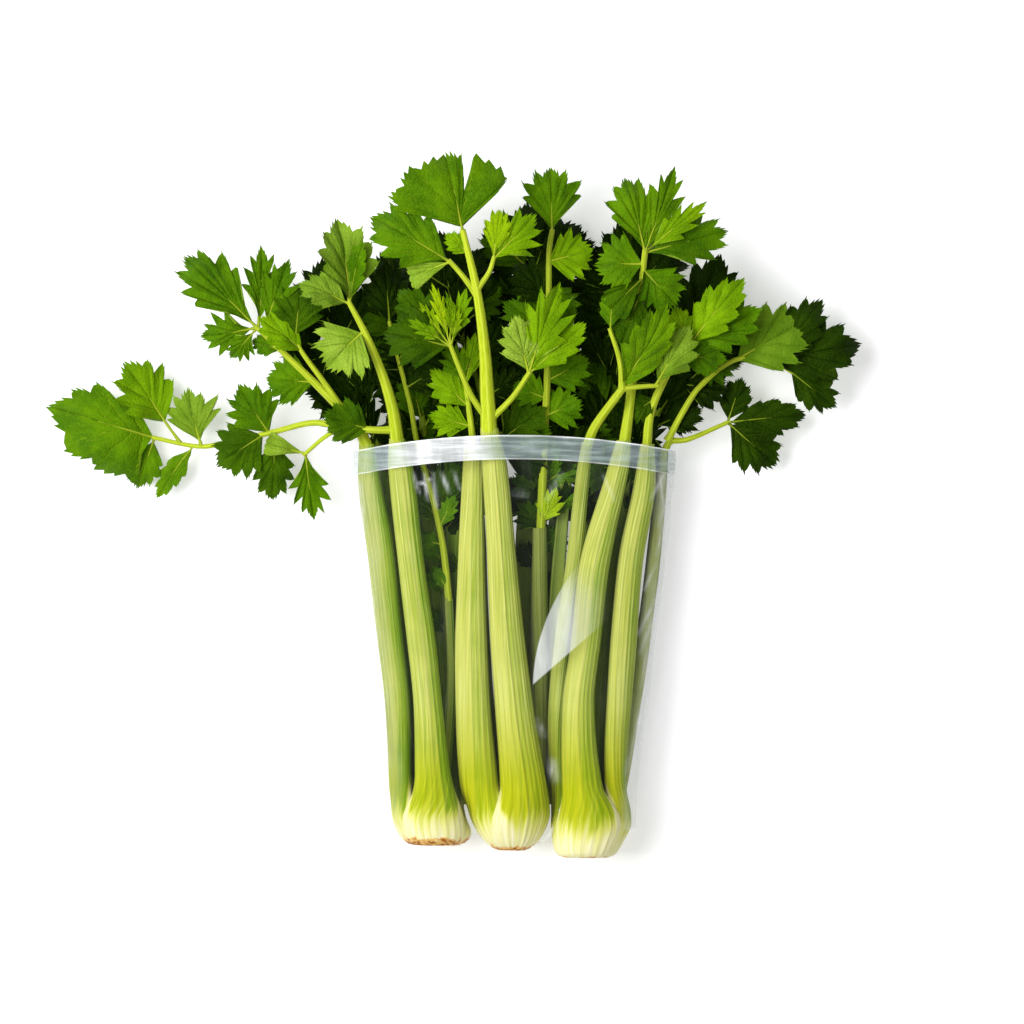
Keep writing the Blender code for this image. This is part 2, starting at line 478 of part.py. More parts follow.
# What a leaflet stays clear of: every finished piece, each other spray, and its own spray past its root.
bpy.context.view_layer.update()
standing = [("", tree(made), None) for made in parts.objects]
pieces = {name: [stem(*line) for line in stems] for name, (stems, _) in SPRAYS.items()}
bpy.context.view_layer.update()
for name, made in pieces.items():
    standing += [(name, tree(piece), tree(piece)) for piece in made]
for name, (stems, leaflets) in SPRAYS.items():
    chance = random.Random(name)
    for bx, by, tx, ty, width, rise, toothed in leaflets:
        root = nearest(stems, (bx, by), chance.uniform(1.0, 2.4))
        seed = chance.random()
        for size, shift in [(1, n) for n in TRIES] + [(0.8, n) for n in TRIES]:
            spot = Vector((bx, by))
            up = max(2.5, root.z + rise + shift)
            tip = Vector((spot.x + (tx - bx) * size, spot.y + (ty - by) * size, up))
            made = leaflet(root, spot, tip, width * size, toothed, BLADE, random.Random(seed))
            whole = BVHTree.FromBMesh(made, epsilon=GAP * MM)
            blade = blade_tree(made, root, max(5.0, (spot - root.xy).length + 2.0))
            low = min(v.co.z for v in made.verts)
            clash = [other for other, what, _ in standing if other != name and whole.overlap(what)]
            clash += [other for other, _, what in standing if other == name and blade.overlap(what)]
            if not clash and low > 0.0004:
                break
            made.free()
            made = None
        if made is None:
            print("left out", name, (bx, by, tx, ty), sorted(set(clash)))
            continue
        standing.append((name, whole, blade))
        pieces[name].append(from_bmesh("leaflet", made, cutters))

# One Boolean union makes each spray a single body.
for name, made in pieces.items():
    group = bpy.data.collections.new(name + " pieces")
    cutters.children.link(group)
    whole = made[0]
    cutters.objects.unlink(whole)
    parts.objects.link(whole)
    whole.name = name
    whole.data.name = name
    for piece in made[1:]:
        cutters.objects.unlink(piece)
        group.objects.link(piece)
    join = whole.modifiers.new("Union", "BOOLEAN")
    join.operation = "UNION"
    join.operand_type = "COLLECTION"
    join.collection = group
    join.solver = "MANIFOLD"
    join.use_self = False
    bpy.context.view_layer.update()
    mesh = bpy.data.meshes.new_from_object(whole.evaluated_get(bpy.context.evaluated_depsgraph_get()))
    whole.modifiers.clear()
    whole.data = mesh
    for piece in list(group.objects):
        bpy.data.objects.remove(piece, do_unlink=True)
    bpy.data.collections.remove(group)
    finished(whole, leaf_skin)

# The origin is under the middle of the whole pack's box.
bpy.context.view_layer.update()
corners = [Vector(v.co) for made in parts.objects for v in made.data.vertices]
low = Vector(min(c[i] for c in corners) for i in range(3))
high = Vector(max(c[i] for c in corners) for i in range(3))
shift = Vector(((low.x + high.x) / 2, (low.y + high.y) / 2, low.z))
for made in parts.objects:
    for vert in made.data.vertices:
        vert.co -= shift
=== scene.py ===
"""Three small heads of celery lying side by side in one clear film sleeve, seen from above."""
import math
import random

import bpy
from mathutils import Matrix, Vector, noise


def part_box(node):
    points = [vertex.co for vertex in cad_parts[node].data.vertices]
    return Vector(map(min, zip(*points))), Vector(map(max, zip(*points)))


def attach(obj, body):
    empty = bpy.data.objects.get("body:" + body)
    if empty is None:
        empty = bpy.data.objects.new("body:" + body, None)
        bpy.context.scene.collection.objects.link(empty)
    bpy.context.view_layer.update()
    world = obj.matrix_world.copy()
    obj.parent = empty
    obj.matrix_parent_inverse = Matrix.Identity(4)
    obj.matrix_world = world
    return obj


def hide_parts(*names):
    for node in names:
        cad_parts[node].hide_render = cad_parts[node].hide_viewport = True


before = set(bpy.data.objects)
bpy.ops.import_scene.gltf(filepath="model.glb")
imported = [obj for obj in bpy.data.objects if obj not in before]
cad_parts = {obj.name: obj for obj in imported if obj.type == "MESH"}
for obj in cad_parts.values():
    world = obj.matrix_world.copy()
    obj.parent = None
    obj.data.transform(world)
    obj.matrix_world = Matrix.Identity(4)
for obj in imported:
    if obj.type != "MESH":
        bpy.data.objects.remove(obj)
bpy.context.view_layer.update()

# BUTTS. The foot of each head: the short stem that the stalks grow from, trimmed across with a knife. It is
# cream and ribbed, wrapped by the bases of its stalks, and the cut face and torn skin round it have browned.
sleeve_low, sleeve_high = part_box("sleeve")
right_low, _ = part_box("right_butt")
MM = 0.001
SLEEVE_MIDDLE = 1.5


def placed(across, along, up):
    """A place in millimetres, whose along is counted from the lowest cut end, in the frame."""
    return Vector((0.5 * (sleeve_low.x + sleeve_high.x) + (across - SLEEVE_MIDDLE) * MM,
                   right_low.y + along * MM, up * MM))


def between(rows, at):
    """The values at a place along smooth curves through the rows, whose first value is the place."""
    at = min(max(at, rows[0][0]), rows[-1][0] - 1e-6)
    k = max(i for i in range(len(rows) - 1) if rows[i][0] <= at)
    a, b = rows[k], rows[k + 1]
    before, after = rows[max(k - 1, 0)], rows[min(k + 2, len(rows) - 1)]
    t = (at - a[0]) / (b[0] - a[0])
    found = []
    for i in range(1, len(a)):
        leave = (b[i] - before[i]) / (b[0] - before[0]) * (b[0] - a[0])
        arrive = (after[i] - a[i]) / (after[0] - a[0]) * (b[0] - a[0])
        found.append((2 * t**3 - 3 * t**2 + 1) * a[i] + (t**3 - 2 * t**2 + t) * leave
                     + (3 * t**2 - 2 * t**3) * b[i] + (t**3 - t**2) * arrive)
    return found


def step(low, high, at):
    """Rises smoothly from 0 at low to 1 at high."""
    t = min(max((at - low) / (high - low), 0.0), 1.0)
    return t * t * (3 - 2 * t)


def empty_skin():
    """The lists that a mesh is drawn into: points, faces, a run for each point, marks and finishes."""
    return {"points": [], "faces": [], "runs": [], "marks": [], "finish": []}


def add_rings(skin, rings, runs, marks, finish=0, closed=True, capped=True):
    """Adds a tube or sheet through rings of points, with each point's run (two lengths) and four marks."""
    first = len(skin["points"])
    count = len(rings[0])
    for ring, run, mark in zip(rings, runs, marks):
        skin["points"] += ring
        skin["runs"] += run
        skin["marks"] += mark
    for k in range(len(rings) - 1):
        for i in range(count if closed else count - 1):
            a, b = first + k * count + i, first + k * count + (i + 1) % count
            skin["faces"].append((a, b, b + count, a + count))
            skin["finish"].append(finish)
    for k in (0, -1) if closed and capped else ():
        # Each end is closed by a flat face of its own, so that its rim stays crisp.
        start = len(skin["points"])
        skin["points"] += rings[k]
        skin["runs"] += runs[k]
        skin["marks"] += marks[k]
        face = tuple(range(start, start + count))
        skin["faces"].append(face if k else face[::-1])
        skin["finish"].append(finish)


def grown(name, skin, *finishes):
    """An object from the drawn lists, smooth, with its runs as a UV map and its marks as point colours."""
    mesh = bpy.data.meshes.new(name)
    mesh.from_pydata(skin["points"], [], skin["faces"])
    mesh.polygons.foreach_set("material_index", skin["finish"])
    run = mesh.uv_layers.new(name="run")
    marks = mesh.attributes.new("mark", "FLOAT_COLOR", "POINT")
    marks.data.foreach_set("color", [v for mark in skin["marks"] for v in mark])
    corners = [0] * len(mesh.loops)
    mesh.loops.foreach_get("vertex_index", corners)
    run.data.foreach_set("uv", [v for c in corners for v in skin["runs"][c]])
    mesh.shade_smooth()
    for finish in finishes:
        mesh.materials.append(finish)
    mesh.validate()
    made = bpy.data.objects.new(name, mesh)
    bpy.context.scene.collection.objects.link(made)
    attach(made, "root")
    return made


# Uneven growth, that streaks and mottles every part: noise whose spots have a length along each axis.
growth_noise = bpy.data.node_groups.new("Growth noise", "ShaderNodeTree")
growth_noise.interface.new_socket("Place", in_out="INPUT", socket_type="NodeSocketVector")
growth_noise.interface.new_socket("Size", in_out="INPUT", socket_type="NodeSocketVector")
growth_noise.interface.new_socket("Detail", in_out="INPUT", socket_type="NodeSocketFloat")
growth_noise.interface.new_socket("Value", in_out="OUTPUT", socket_type="NodeSocketFloat")
given = growth_noise.nodes.new("NodeGroupInput")
scaled = growth_noise.nodes.new("ShaderNodeVectorMath")
scaled.operation = "DIVIDE"
spots = growth_noise.nodes.new("ShaderNodeTexNoise")
spots.inputs["Scale"].default_value = 1.0
handed_on = growth_noise.nodes.new("NodeGroupOutput")
growth_noise.links.new(given.outputs["Place"], scaled.inputs[0])
growth_noise.links.new(given.outputs["Size"], scaled.inputs[1])
growth_noise.links.new(scaled.outputs[0], spots.inputs["Vector"])
growth_noise.links.new(given.outputs["Detail"], spots.inputs["Detail"])
growth_noise.links.new(spots.outputs["Fac"], handed_on.inputs["Value"])


class Finish:
    """A material under way: its node tree, its Principled shader and short ways to add nodes."""

    def __init__(self, name, rough, specular, tint=(1, 1, 1, 1)):
        self.made = bpy.data.materials.new(name)
        self.made.use_nodes = True
        self.tree = self.made.node_tree
        self.shader = self.tree.nodes["Principled BSDF"]
        self.shader.inputs["Roughness"].default_value = rough
        self.shader.inputs["Specular IOR Level"].default_value = specular
        self.shader.inputs["Specular Tint"].default_value = tint
        run = self.node("ShaderNodeUVMap", uv_map="run")
        mark = self.node("ShaderNodeAttribute", attribute_name="mark")
        self.run = run.outputs["UV"]
        parts = self.node("ShaderNodeSeparateColor", {"Color": mark.outputs["Color"]})
        self.marks = [parts.outputs[i] for i in range(3)] + [mark.outputs["Alpha"]]
        self.here = self.node("ShaderNodeTexCoord").outputs["Object"]

    def node(self, kind, sockets=None, **settings):
        """A node with its settings, and its sockets linked or set by name or number."""
        made = self.tree.nodes.new(kind)
        for key, value in settings.items():
            setattr(made, key, value)
        for key, value in (sockets or {}).items():
            if isinstance(value, bpy.types.NodeSocket):
                self.tree.links.new(value, made.inputs[key])
            else:
                made.inputs[key].default_value = value
        return made

    def math(self, operation, *values):
        """One sum of a Math node."""
        return self.node("ShaderNodeMath", dict(enumerate(values)), operation=operation).outputs[0]

    def mask(self, value, low, high, to_low=0.0, to_high=1.0):
        """The value eased from one range to another."""
        made = self.node("ShaderNodeMapRange", {"Value": value, "From Min": low, "From Max": high,
                                                "To Min": to_low, "To Max": to_high},
                         interpolation_type="SMOOTHSTEP")
        return made.outputs["Result"]

    def mix(self, share, first, second, blend="MIX"):
        """Two colours, each a socket or (red, green, blue), mixed by a share."""
        first, second = (c if isinstance(c, bpy.types.NodeSocket) else (*c, 1) for c in (first, second))
        made = self.node("ShaderNodeMix", {0: share, 6: first, 7: second}, data_type="RGBA",
                         blend_type=blend)
        return made.outputs[2]

    def noise(self, where, size, detail=3.0):
        """The growth noise at a place: its spots' size along each axis, or one size, in the place's units."""
        size = size if isinstance(size, tuple) else (size,) * 3
        return self.node("ShaderNodeGroup", {"Place": where, "Size": size, "Detail": detail},
                         node_tree=growth_noise).outputs["Value"]

    def bump(self, height, deep, strength=1.0):
        """Feeds a height in metres to the shader's normal."""
        made = self.node("ShaderNodeBump", {"Height": height, "Distance": deep, "Strength": strength})
        self.tree.links.new(made.outputs["Normal"], self.shader.inputs["Normal"])

    def feed(self, socket, value):
        """Links a value to one of the shader's sockets."""
        self.tree.links.new(value, self.shader.inputs[socket])


# Marks of the stalk finish: ridge of a rib, cream of the foot then (past 1) its browning, greenness with the
# painted shade of the side away from the light, and the painted shade of a stalk deep in the pack.
stalk = Finish("Celery stalk", 0.45, 0.09, (1.0, 1.0, 0.05, 1))
rib, foot, green_and_shade, depth_shade = stalk.marks
streak = stalk.noise(stalk.run, (0.9, 60, 1))
fine_streak = stalk.noise(stalk.run, (0.62, 60, 1), 2.0)
blotch = stalk.noise(stalk.here, 0.016)
low = stalk.mask(stalk.node("ShaderNodeSeparateXYZ", {0: stalk.run}).outputs[1], 100.0, 35.0)
# The skin is green by its mark, which holds painted shade on the side away from the light, by streaks and by
# blotches. Its ribs stay pale, and low down it yellows.
pale_skin = stalk.mix(low, (0.475, 0.495, 0.112), (0.400, 0.420, 0.003))
green_skin = stalk.mix(low, (0.128, 0.250, 0.003), (0.128, 0.250, 0.001))
tone = stalk.math("ADD", green_and_shade, stalk.mask(streak, 0.30, 0.70, 0.16, -0.14))
tone = stalk.math("ADD", tone, stalk.mask(rib, 0.35, 0.95, 0.0, -0.50))
tone = stalk.math("ADD", tone, stalk.mask(blotch, 0.35, 0.75, -0.06, 0.10))
green = stalk.mix(stalk.math("MAXIMUM", stalk.math("MINIMUM", tone, 1.0), 0.0), pale_skin, green_skin)
dull_streak = stalk.mix(low, (0.260, 0.340, 0.020), (0.22, 0.31, 0.001))
pale_streak = stalk.mix(low, (0.700, 0.740, 0.260), (0.54, 0.58, 0.01))
green = stalk.mix(stalk.mask(fine_streak, 0.50, 0.28, 0.0, 0.55), green, dull_streak)
green = stalk.mix(stalk.mask(fine_streak, 0.50, 0.72, 0.0, 0.36), green, pale_streak)
# The foot fades to cream along its streaks.
cream = stalk.mix(stalk.mask(streak, 0.35, 0.70), (0.740, 0.700, 0.320), (0.810, 0.770, 0.560))
cream = stalk.mix(stalk.mask(fine_streak, 0.45, 0.70, 0.0, 0.4), cream, (0.620, 0.620, 0.110))
creamy = stalk.math("ADD", foot, stalk.mask(stalk.noise(stalk.run, (1.2, 24, 1)), 0.32, 0.68, -0.17, 0.15))
body = stalk.mix(stalk.mask(creamy, 0.00, 0.66), green, (0.560, 0.580, 0.050))
body = stalk.mix(stalk.mask(creamy, 0.20, 1.10), body, cream)
# A stalk deep in the pack is darkened with painted shade.
body = stalk.mix(depth_shade, body, (0.205, 0.300, 0.300), "MULTIPLY")
# Torn and cut skin has dried to tan, and at the very cut to brown.
crust = stalk.noise(stalk.here, 0.0022, 4.0)
edge = stalk.math("ADD", stalk.math("SUBTRACT", foot, 1.0), stalk.mask(crust, 0.35, 0.65, -0.30, 0.30))
body = stalk.mix(stalk.mask(edge, 0.25, 0.60), body, (0.700, 0.420, 0.120))
body = stalk.mix(stalk.mask(edge, 0.75, 1.15), body, (0.330, 0.110, 0.016))
stalk.feed("Base Color", body)
stalk.feed("Roughness", stalk.mask(blotch, 0.3, 0.7, 0.38, 0.52))
pores = stalk.noise(stalk.here, 0.0011, 2.0)
relief = stalk.math("ADD", stalk.math("MULTIPLY", fine_streak, 0.6), stalk.math("MULTIPLY", pores, 0.4))
stalk.bump(stalk.math("MULTIPLY_ADD", rib, 0.65, relief), 0.00020)
stalk_finish = stalk.made

# Each butt: middle across, width, height, middle up, cut end's place along, how its width grows from the cut
# (distance, share), how far up it the skin has browned, and how far its cut end leans across.
BUTTS = {
    "left": (-46.2, 43.6, 44.0, 25.5, 7.0,
             ((0, 0.62), (1.2, 0.72), (4, 0.86), (9, 0.95), (20, 1.0), (60, 1.0)), 6.5, 2.8),
    "middle": (-0.8, 46.0, 46.0, 26.0, 4.0,
               ((0, 0.34), (3, 0.54), (7, 0.70), (13, 0.84), (22, 0.97), (60, 1.0)), 3.4, 0.8),
    "right": (45.3, 45.0, 45.0, 25.6, 0.0,
              ((0, 0.58), (1.5, 0.70), (4.5, 0.79), (9, 0.87), (20, 1.0), (60, 1.0)), 0.9, -3.0),
}
# Below 1 a butt's section is a little square. Lengths are in millimetres.
BUTT_SQUARENESS = 0.85
BUTT_TALL = 22
BUTT_RINGS = 30
BUTT_POINTS = 120
BUTT_RIBS = 38
RIB_HEIGHT = 0.30
BUTT_ROUND = 40
CUT_RINGS = 12


def butt_point(head, turn, along, out):
    """A point on a head's butt, a little out from its surface, at a turn from the right-hand side."""
    across, width, height, up, end, growth, _, lean = BUTTS[head]
    share = between(growth, along - end)[0]
    across += lean * step(BUTT_TALL, 0, along - end)
    c, s = math.cos(turn), math.sin(turn)
    return (across + (0.5 * width * share + out) * math.copysign(abs(c) ** BUTT_SQUARENESS, c), along,
            up + (0.5 * height * share + out) * math.copysign(abs(s) ** BUTT_SQUARENESS, s))


def browning(head, turn, along):
    """How brown the skin is near a head's cut end, with a ragged edge."""
    end, reach = BUTTS[head][4], BUTTS[head][6]
    ragged = noise.noise(Vector((3 * math.cos(turn), 3 * math.sin(turn), len(head)))) + 0.45 * noise.noise(
        Vector((9 * math.cos(turn), 9 * math.sin(turn), 0.4 * along)))
    return step(reach * (0.9 + 0.9 * ragged), reach * (0.35 + 0.6 * ragged) - 0.4, along - end)


turns = [math.tau * i / BUTT_POINTS for i in range(BUTT_POINTS)]
ribs = [0.5 + 0.5 * math.cos(BUTT_RIBS * turn) for turn in turns]
for head, (middle, _, _, up, end, _, _, lean) in BUTTS.items():
    skin = empty_skin()
    rings, runs, marks = [], [], []
    for k in range(BUTT_RINGS):
        rise = BUTT_TALL * (k / (BUTT_RINGS - 1)) ** 1.5
        # Past its crisp rim the core draws in, so that the sheaths lie clear over it.
        inward = 0.9 * min(1.0, rise / 1.5) + 0.30 * rise
        rings.append([placed(*butt_point(head, turn, end + rise, RIB_HEIGHT * r - inward))
                      for turn, r in zip(turns, ribs)])
        runs.append([(BUTT_ROUND * turn / math.tau, end + rise) for turn in turns])
        marks.append([(r, 1.0 + browning(head, turn, end + rise), 0.0, 0.0) for turn, r in zip(turns, ribs)])
    add_rings(skin, rings, runs, marks, capped=False)
    # The cut face: rings closing to the middle, rough and a little hollow.
    rings, runs, marks = [], [], []
    for k in range(CUT_RINGS):
        part = 1 - k / (CUT_RINGS - 0.5)
        ring, mark = [], []
        for turn, r in zip(turns, ribs):
            x, y, z = butt_point(head, turn, end, RIB_HEIGHT * r)
            x, z = middle + lean + (x - middle - lean) * part, up + (z - up) * part
            rough = noise.noise(Vector((x, z, 5)) * 0.35) + 0.5 * noise.noise(Vector((x, z, 9)) * 1.1)
            ring.append(placed(x, y + 0.5 * (1 - part) + 0.45 * rough * min(1, k), z))
            mark.append((0.4, 1.50 + 0.35 * part**3 + 0.25 * rough, 0.0, 0.0))
        rings.append(ring)
        runs.append([(BUTT_ROUND * turn / math.tau, end) for turn in turns])
        marks.append(mark)
    add_rings(skin, rings, runs, marks, capped=False)
    points = len(skin["points"])
    skin["faces"].append(tuple(range(points - BUTT_POINTS, points)))
    skin["finish"].append(0)
    butt = grown(head + "_butt_core", skin, stalk_finish)
    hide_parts(head + "_butt")


# STALKS. Each leaf stalk is a fleshy crescent with strings running up its back: they stand out as pale ribs
# over a green skin. Its base widens into a cream sheath that wraps the head, thin and pale at its margins.

# Rows of (along, across, up, width, outward roll in degrees), ribs across the back, then how deep it lies,
# which sets how much painted shade darkens it.
STALKS = {
    "left_stalk_1": (
        ((24.4, -61.5, 28.5, 17, -62), (44.5, -63.6, 31, 14.5, -45), (90, -65.0, 33, 15.8, -35),
         (124, -69.0, 34, 15.8, -30), (180, -75.2, 34.5, 16.4, -25), (214, -80.8, 34.8, 13.8, -22),
         (236, -82.6, 35, 9.5, -20)), 9, 0.10),
    "left_stalk_2": (
        ((24.4, -43.8, 39.5, 29, 0), (38, -44.4, 40.5, 23.4, 0), (48, -45.0, 41, 20.0, 0),
         (90, -48.2, 42, 16.2, 0), (124, -51.7, 42, 16.4, 0), (170, -57.7, 43, 15.2, 0),
         (224, -63.4, 44, 14.2, 0), (239, -65.2, 44, 9, 0)), 10, 0.0),
    "left_stalk_3": (
        ((24.4, -43, 27, 8, 20), (60, -37.5, 29, 6.5, 20), (100, -34.6, 30, 5.6, 20), (148, -36, 31, 5, 10)),
        5, 0.66),
    "left_stalk_4": (
        ((24.4, -55, 11.5, 18, 205), (60, -56, 12, 14, 200), (124, -61, 13, 13, 195),
         (180, -69, 14, 12.5, 190), (236, -76, 16, 8, 190)), 7, 0.7),
    "left_stalk_5": (
        ((24.4, -34.5, 12, 18, 150), (60, -37, 12, 14, 165), (124, -41, 13, 13, 170),
         (180, -46, 14, 12.5, 175), (236, -50, 16, 8, 180)), 7, 0.75),
    "middle_stalk_1": (
        ((24.4, -14.6, 32, 23, -38), (44.5, -18.6, 34, 22.5, -24), (90, -22.0, 36, 20.4, -14),
         (124, -23.1, 36.5, 18.6, -12), (170, -23, 36.5, 15.5, -12), (236, -21.8, 35.5, 11, -10)), 9, 0.0),
    "middle_stalk_2": (
        ((24.4, 7.5, 39, 29.6, 8), (44.5, 6.4, 41, 26.6, 5), (90, 1.1, 43, 21.6, 0),
         (124, -2.6, 43.5, 20.0, 0), (170, -5.9, 44, 16.8, 0), (224, -10, 45, 14.3, 0),
         (245, -12.9, 45.5, 10.5, 0)), 13, 0.0),
    "middle_stalk_3": (
        ((24.4, 12.5, 23.5, 8, 70), (66, 15.6, 26, 10, 50), (124, 15.7, 28, 10.6, 40),
         (188, 15.6, 30, 8.4, 20)), 6, 0.68),
    "middle_stalk_4": (
        ((24.4, -12, 11, 20, 205), (60, -15, 12, 15, 200), (124, -19, 13, 13, 190), (180, -21, 14, 12.5, 185),
         (236, -23, 15, 8, 180)), 7, 0.8),
    "middle_stalk_5": (
        ((24.4, 12, 11, 20, 155), (60, 9, 12, 15, 160), (124, 8, 13, 14, 170), (180, 9, 14, 14, 175),
         (236, 11, 15, 9, 180)), 7, 0.8),
    "middle_stalk_6": (
        ((24.4, -2, 26.5, 8, 0), (66, -5, 27, 8, 0), (124, -8, 28, 8, 0), (180, -9.5, 29, 7.5, 0),
         (236, -10.5, 30, 6, 0)), 5, 0.7),
    "right_stalk_1": (
        ((24.4, 28, 28, 11, -60), (67, 24.9, 33, 9.0, -30), (93, 26.0, 35, 9.4, -20),
         (124, 29.0, 37, 9.2, -10), (170, 35.2, 40, 9.2, 0), (218, 40.4, 42, 8.2, 0), (237, 43, 43, 6.4, 0)),
        6, 0.30),
    "right_stalk_2": (
        ((24.4, 43.5, 39.5, 28, -4), (44.5, 39.8, 41, 22.4, -3), (90, 38.0, 42, 18.6, 0),
         (124, 42.1, 42.5, 17.4, 0), (170, 47.6, 43, 17, 0), (224, 61, 43.5, 12, 5), (238, 63.8, 44, 8.5, 5)),
        11, 0.0),
    "right_stalk_3": (
        ((24.4, 60.8, 28.5, 14, 60), (44.5, 58.6, 32.5, 13.2, 40), (90, 61, 35, 14.8, 20),
         (124, 63.6, 36, 15.6, 15), (170, 67.5, 36.5, 14.4, 12), (210, 75.3, 37, 13.0, 10),
         (236, 77.2, 38, 8.0, 10)), 9, 0.04),
    "right_stalk_4": (
        ((24.4, 59.5, 17.6, 8, 98), (60, 66.2, 21, 8.4, 80), (90, 70.4, 22, 9, 70), (124, 75, 23, 9.6, 60),
         (195, 83.6, 25, 8, 50), (234, 87, 26, 5.5, 40)), 6, 0.35),
    "right_stalk_5": (
        ((24.4, 35, 11.5, 19, 205), (60, 36, 12, 14, 195), (124, 41, 13, 13, 190), (180, 46, 14, 12.5, 185),
         (236, 53, 15, 8, 180)), 7, 0.8),
    "right_stalk_6": (
        ((24.4, 53, 10.5, 14, 160), (60, 56, 11, 13, 165), (124, 62, 12, 13, 170), (180, 68, 13, 12.5, 170),
         (236, 75, 15, 8, 170)), 7, 0.8),
}
# More stalks lie under these, too deep in the pack to be told apart, darkened with painted shade. They all
# face down.
INNER = {
    "left_inner_stalk": (((30, -48, 13, 16), (90, -50, 15, 15), (160, -56, 17, 13), (236, -63, 18, 8)), 0.9),
    "left_side_stalk": (((30, -31, 20, 12), (90, -31, 21, 11), (160, -33, 22, 10), (236, -36, 22, 7)), 0.85),
    "middle_inner_stalk": (((30, 20, 15, 13), (90, 21, 17, 12), (160, 24, 18, 11), (236, 28, 19, 7)), 0.9),
    "middle_side_stalk": (((30, 25, 22, 9), (90, 23, 24, 9), (160, 26, 25, 8), (236, 33, 25, 6)), 0.72),
    "right_inner_stalk": (((30, 48, 19, 15), (90, 51, 20, 15), (160, 57, 21, 14), (236, 66, 22, 8)), 0.78),
}
STALKS.update({name: (tuple((*row, 180) for row in rows), 6, deep) for name, (rows, deep) in INNER.items()})

# Each sheath: middle and half of its reach round the butt in degrees, and how far out its back stands.
SHEATHS = {
    "left_stalk_1": (168, 58, 0.8), "left_stalk_2": (92, 62, 1.1), "left_stalk_4": (240, 50, 0.4),
    "left_stalk_5": (12, 56, 0.6), "middle_stalk_1": (150, 66, 0.8), "middle_stalk_2": (70, 62, 1.3),
    "middle_stalk_4": (235, 50, 0.5), "middle_stalk_5": (325, 55, 0.6), "right_stalk_1": (165, 40, 0.7),
    "right_stalk_2": (98, 64, 1.2), "right_stalk_3": (32, 52, 0.8), "right_stalk_4": (-5, 42, 0.6),
    "right_stalk_5": (235, 50, 0.4), "right_stalk_6": (300, 50, 0.4),
}
# How green each head's stalks are on their paler side, and how much greener and darker painted shade makes
# them past the tallest ridge, on the side away from the light.
GREENNESS = {"left": 0.36, "middle": 0.04, "right": 0.16}
FLANK_SHADE = {"left": 0.66, "middle": 0.50, "right": 0.62}
# Where that ridge, and the edge of the painted shade, stands, from -1 at the left edge to 1 at the right.
CRESTS = {"left_stalk_1": 0.30, "left_stalk_2": 0.20, "middle_stalk_1": 0.02, "middle_stalk_2": -0.10,
          "right_stalk_2": 0.05, "right_stalk_3": 0.0}
# How far in from its left and right edge a sheath is pale at its foot.
MARGINS = {"middle_stalk_2": (0.75, 0.30), "left_stalk_2": (0.62, 0.55), "right_stalk_3": (0.80, 0.40),
           "right_stalk_2": (0.35, 0.50)}
# Places along: a sheath wraps its butt fully up to one and leaves it at the other.
SHEATH_FULL = 11.0
SHEATH_TOP = 40.0
BACK_POINTS = 73
CHANNEL_POINTS = 12
RIDGE_HEIGHT = 0.35


def stalk_ring(name, along, ribs):
    """One ring of a stalk: its ribbed back from left to right and its channel, then its runs and marks."""
    rows, _, deep = STALKS[name]
    across, up, width, roll = between(rows, along)
    c, s = math.cos(math.radians(roll)), math.sin(math.radians(roll))
    head = name.split("_")[0]
    rise = along - BUTTS[head][4]
    wrap = step(SHEATH_TOP, SHEATH_FULL, along) if name in SHEATHS else 0.0
    middle, half, out = SHEATHS.get(name, (90, 30, 0.5))
    left_margin, right_margin = MARGINS.get(name, (0.52, 0.52))
    ring, run, mark = [], [], []
    for i in range(BACK_POINTS + CHANNEL_POINTS):
        on_back = i < BACK_POINTS
        if on_back:
            side = 2 * i / (BACK_POINTS - 1) - 1
            ridge = max(tall * math.exp(-((side - at) / wide)**2) for at, tall, wide in ribs)
            turn = 0.5 * math.pi * side
            a = 0.5 * width * math.sin(turn)
            b = (0.40 * width + 0.020 * width * ridge) * max(0.0, math.cos(turn)) ** 0.72
            thick = out * (1 - side**4) + RIDGE_HEIGHT * ridge * (1 - side**6)
            limit = 0.94 - (right_margin if side > 0 else left_margin) * step(52, 10, along)
            ragged = 0.05 * noise.noise(Vector((along * 0.12, side * 2, middle)))
            margin = step(limit, limit + 0.22, abs(side) + ragged)
            round_mm = 0.5 * width * (side + 1)
        else:
            side = 1 - 2 * (i - BACK_POINTS + 0.5) / CHANNEL_POINTS
            arch = 1 - side * side
            a, b = 0.45 * width * side, 0.34 * width * arch - 0.50 * width * (0.62 + 0.38 * arch)
            thick, ridge, margin = -1.6 - 1.5 * arch, 0.3, 0.6
            round_mm = 0.5 * width * (3 - side)
        x, z = across + a * c + b * s, up - a * s + b * c
        turn = math.radians(middle - half * side)
        if wrap > 0:
            bx, _, bz = butt_point(head, turn, along, thick)
            x, z = x + (bx - x) * wrap, z + (bz - z) * wrap
        # A slow wander keeps the edges from being ruled lines.
        x += 0.5 * noise.noise(Vector((0.4 * side, 0.022 * along, len(rows) + across * 0.1))) * (1 - wrap)
        uneven = 4 * noise.noise(Vector((side * 3, along * 0.05, middle)))
        foot = step(31, 2, rise - 9 * margin + uneven)
        foot = max(foot, 0.90 * margin * step(58, 30, along) * (name in SHEATHS))
        foot += browning(head, turn, along) if wrap > 0.5 else 0.0
        # Past its tallest ridge the back is painted greener and darker, as shade on the side away from the
        # light.
        crest = CRESTS.get(name, 0.1) + 0.10 * noise.noise(Vector((along * 0.025, middle, 3)))
        shaded_flank = 0.80 * step(crest - 0.05, crest + 0.12, side) + 0.20 * step(0.45, 0.85, side)
        ring.append(placed(x, along, z))
        run.append((round_mm, along))
        mark.append((min(1.0, ridge), foot, GREENNESS[head] + (FLANK_SHADE[head] * shaded_flank if on_back else 0.4),
                     deep * step(6, 40, rise)))
    return ring, run, mark


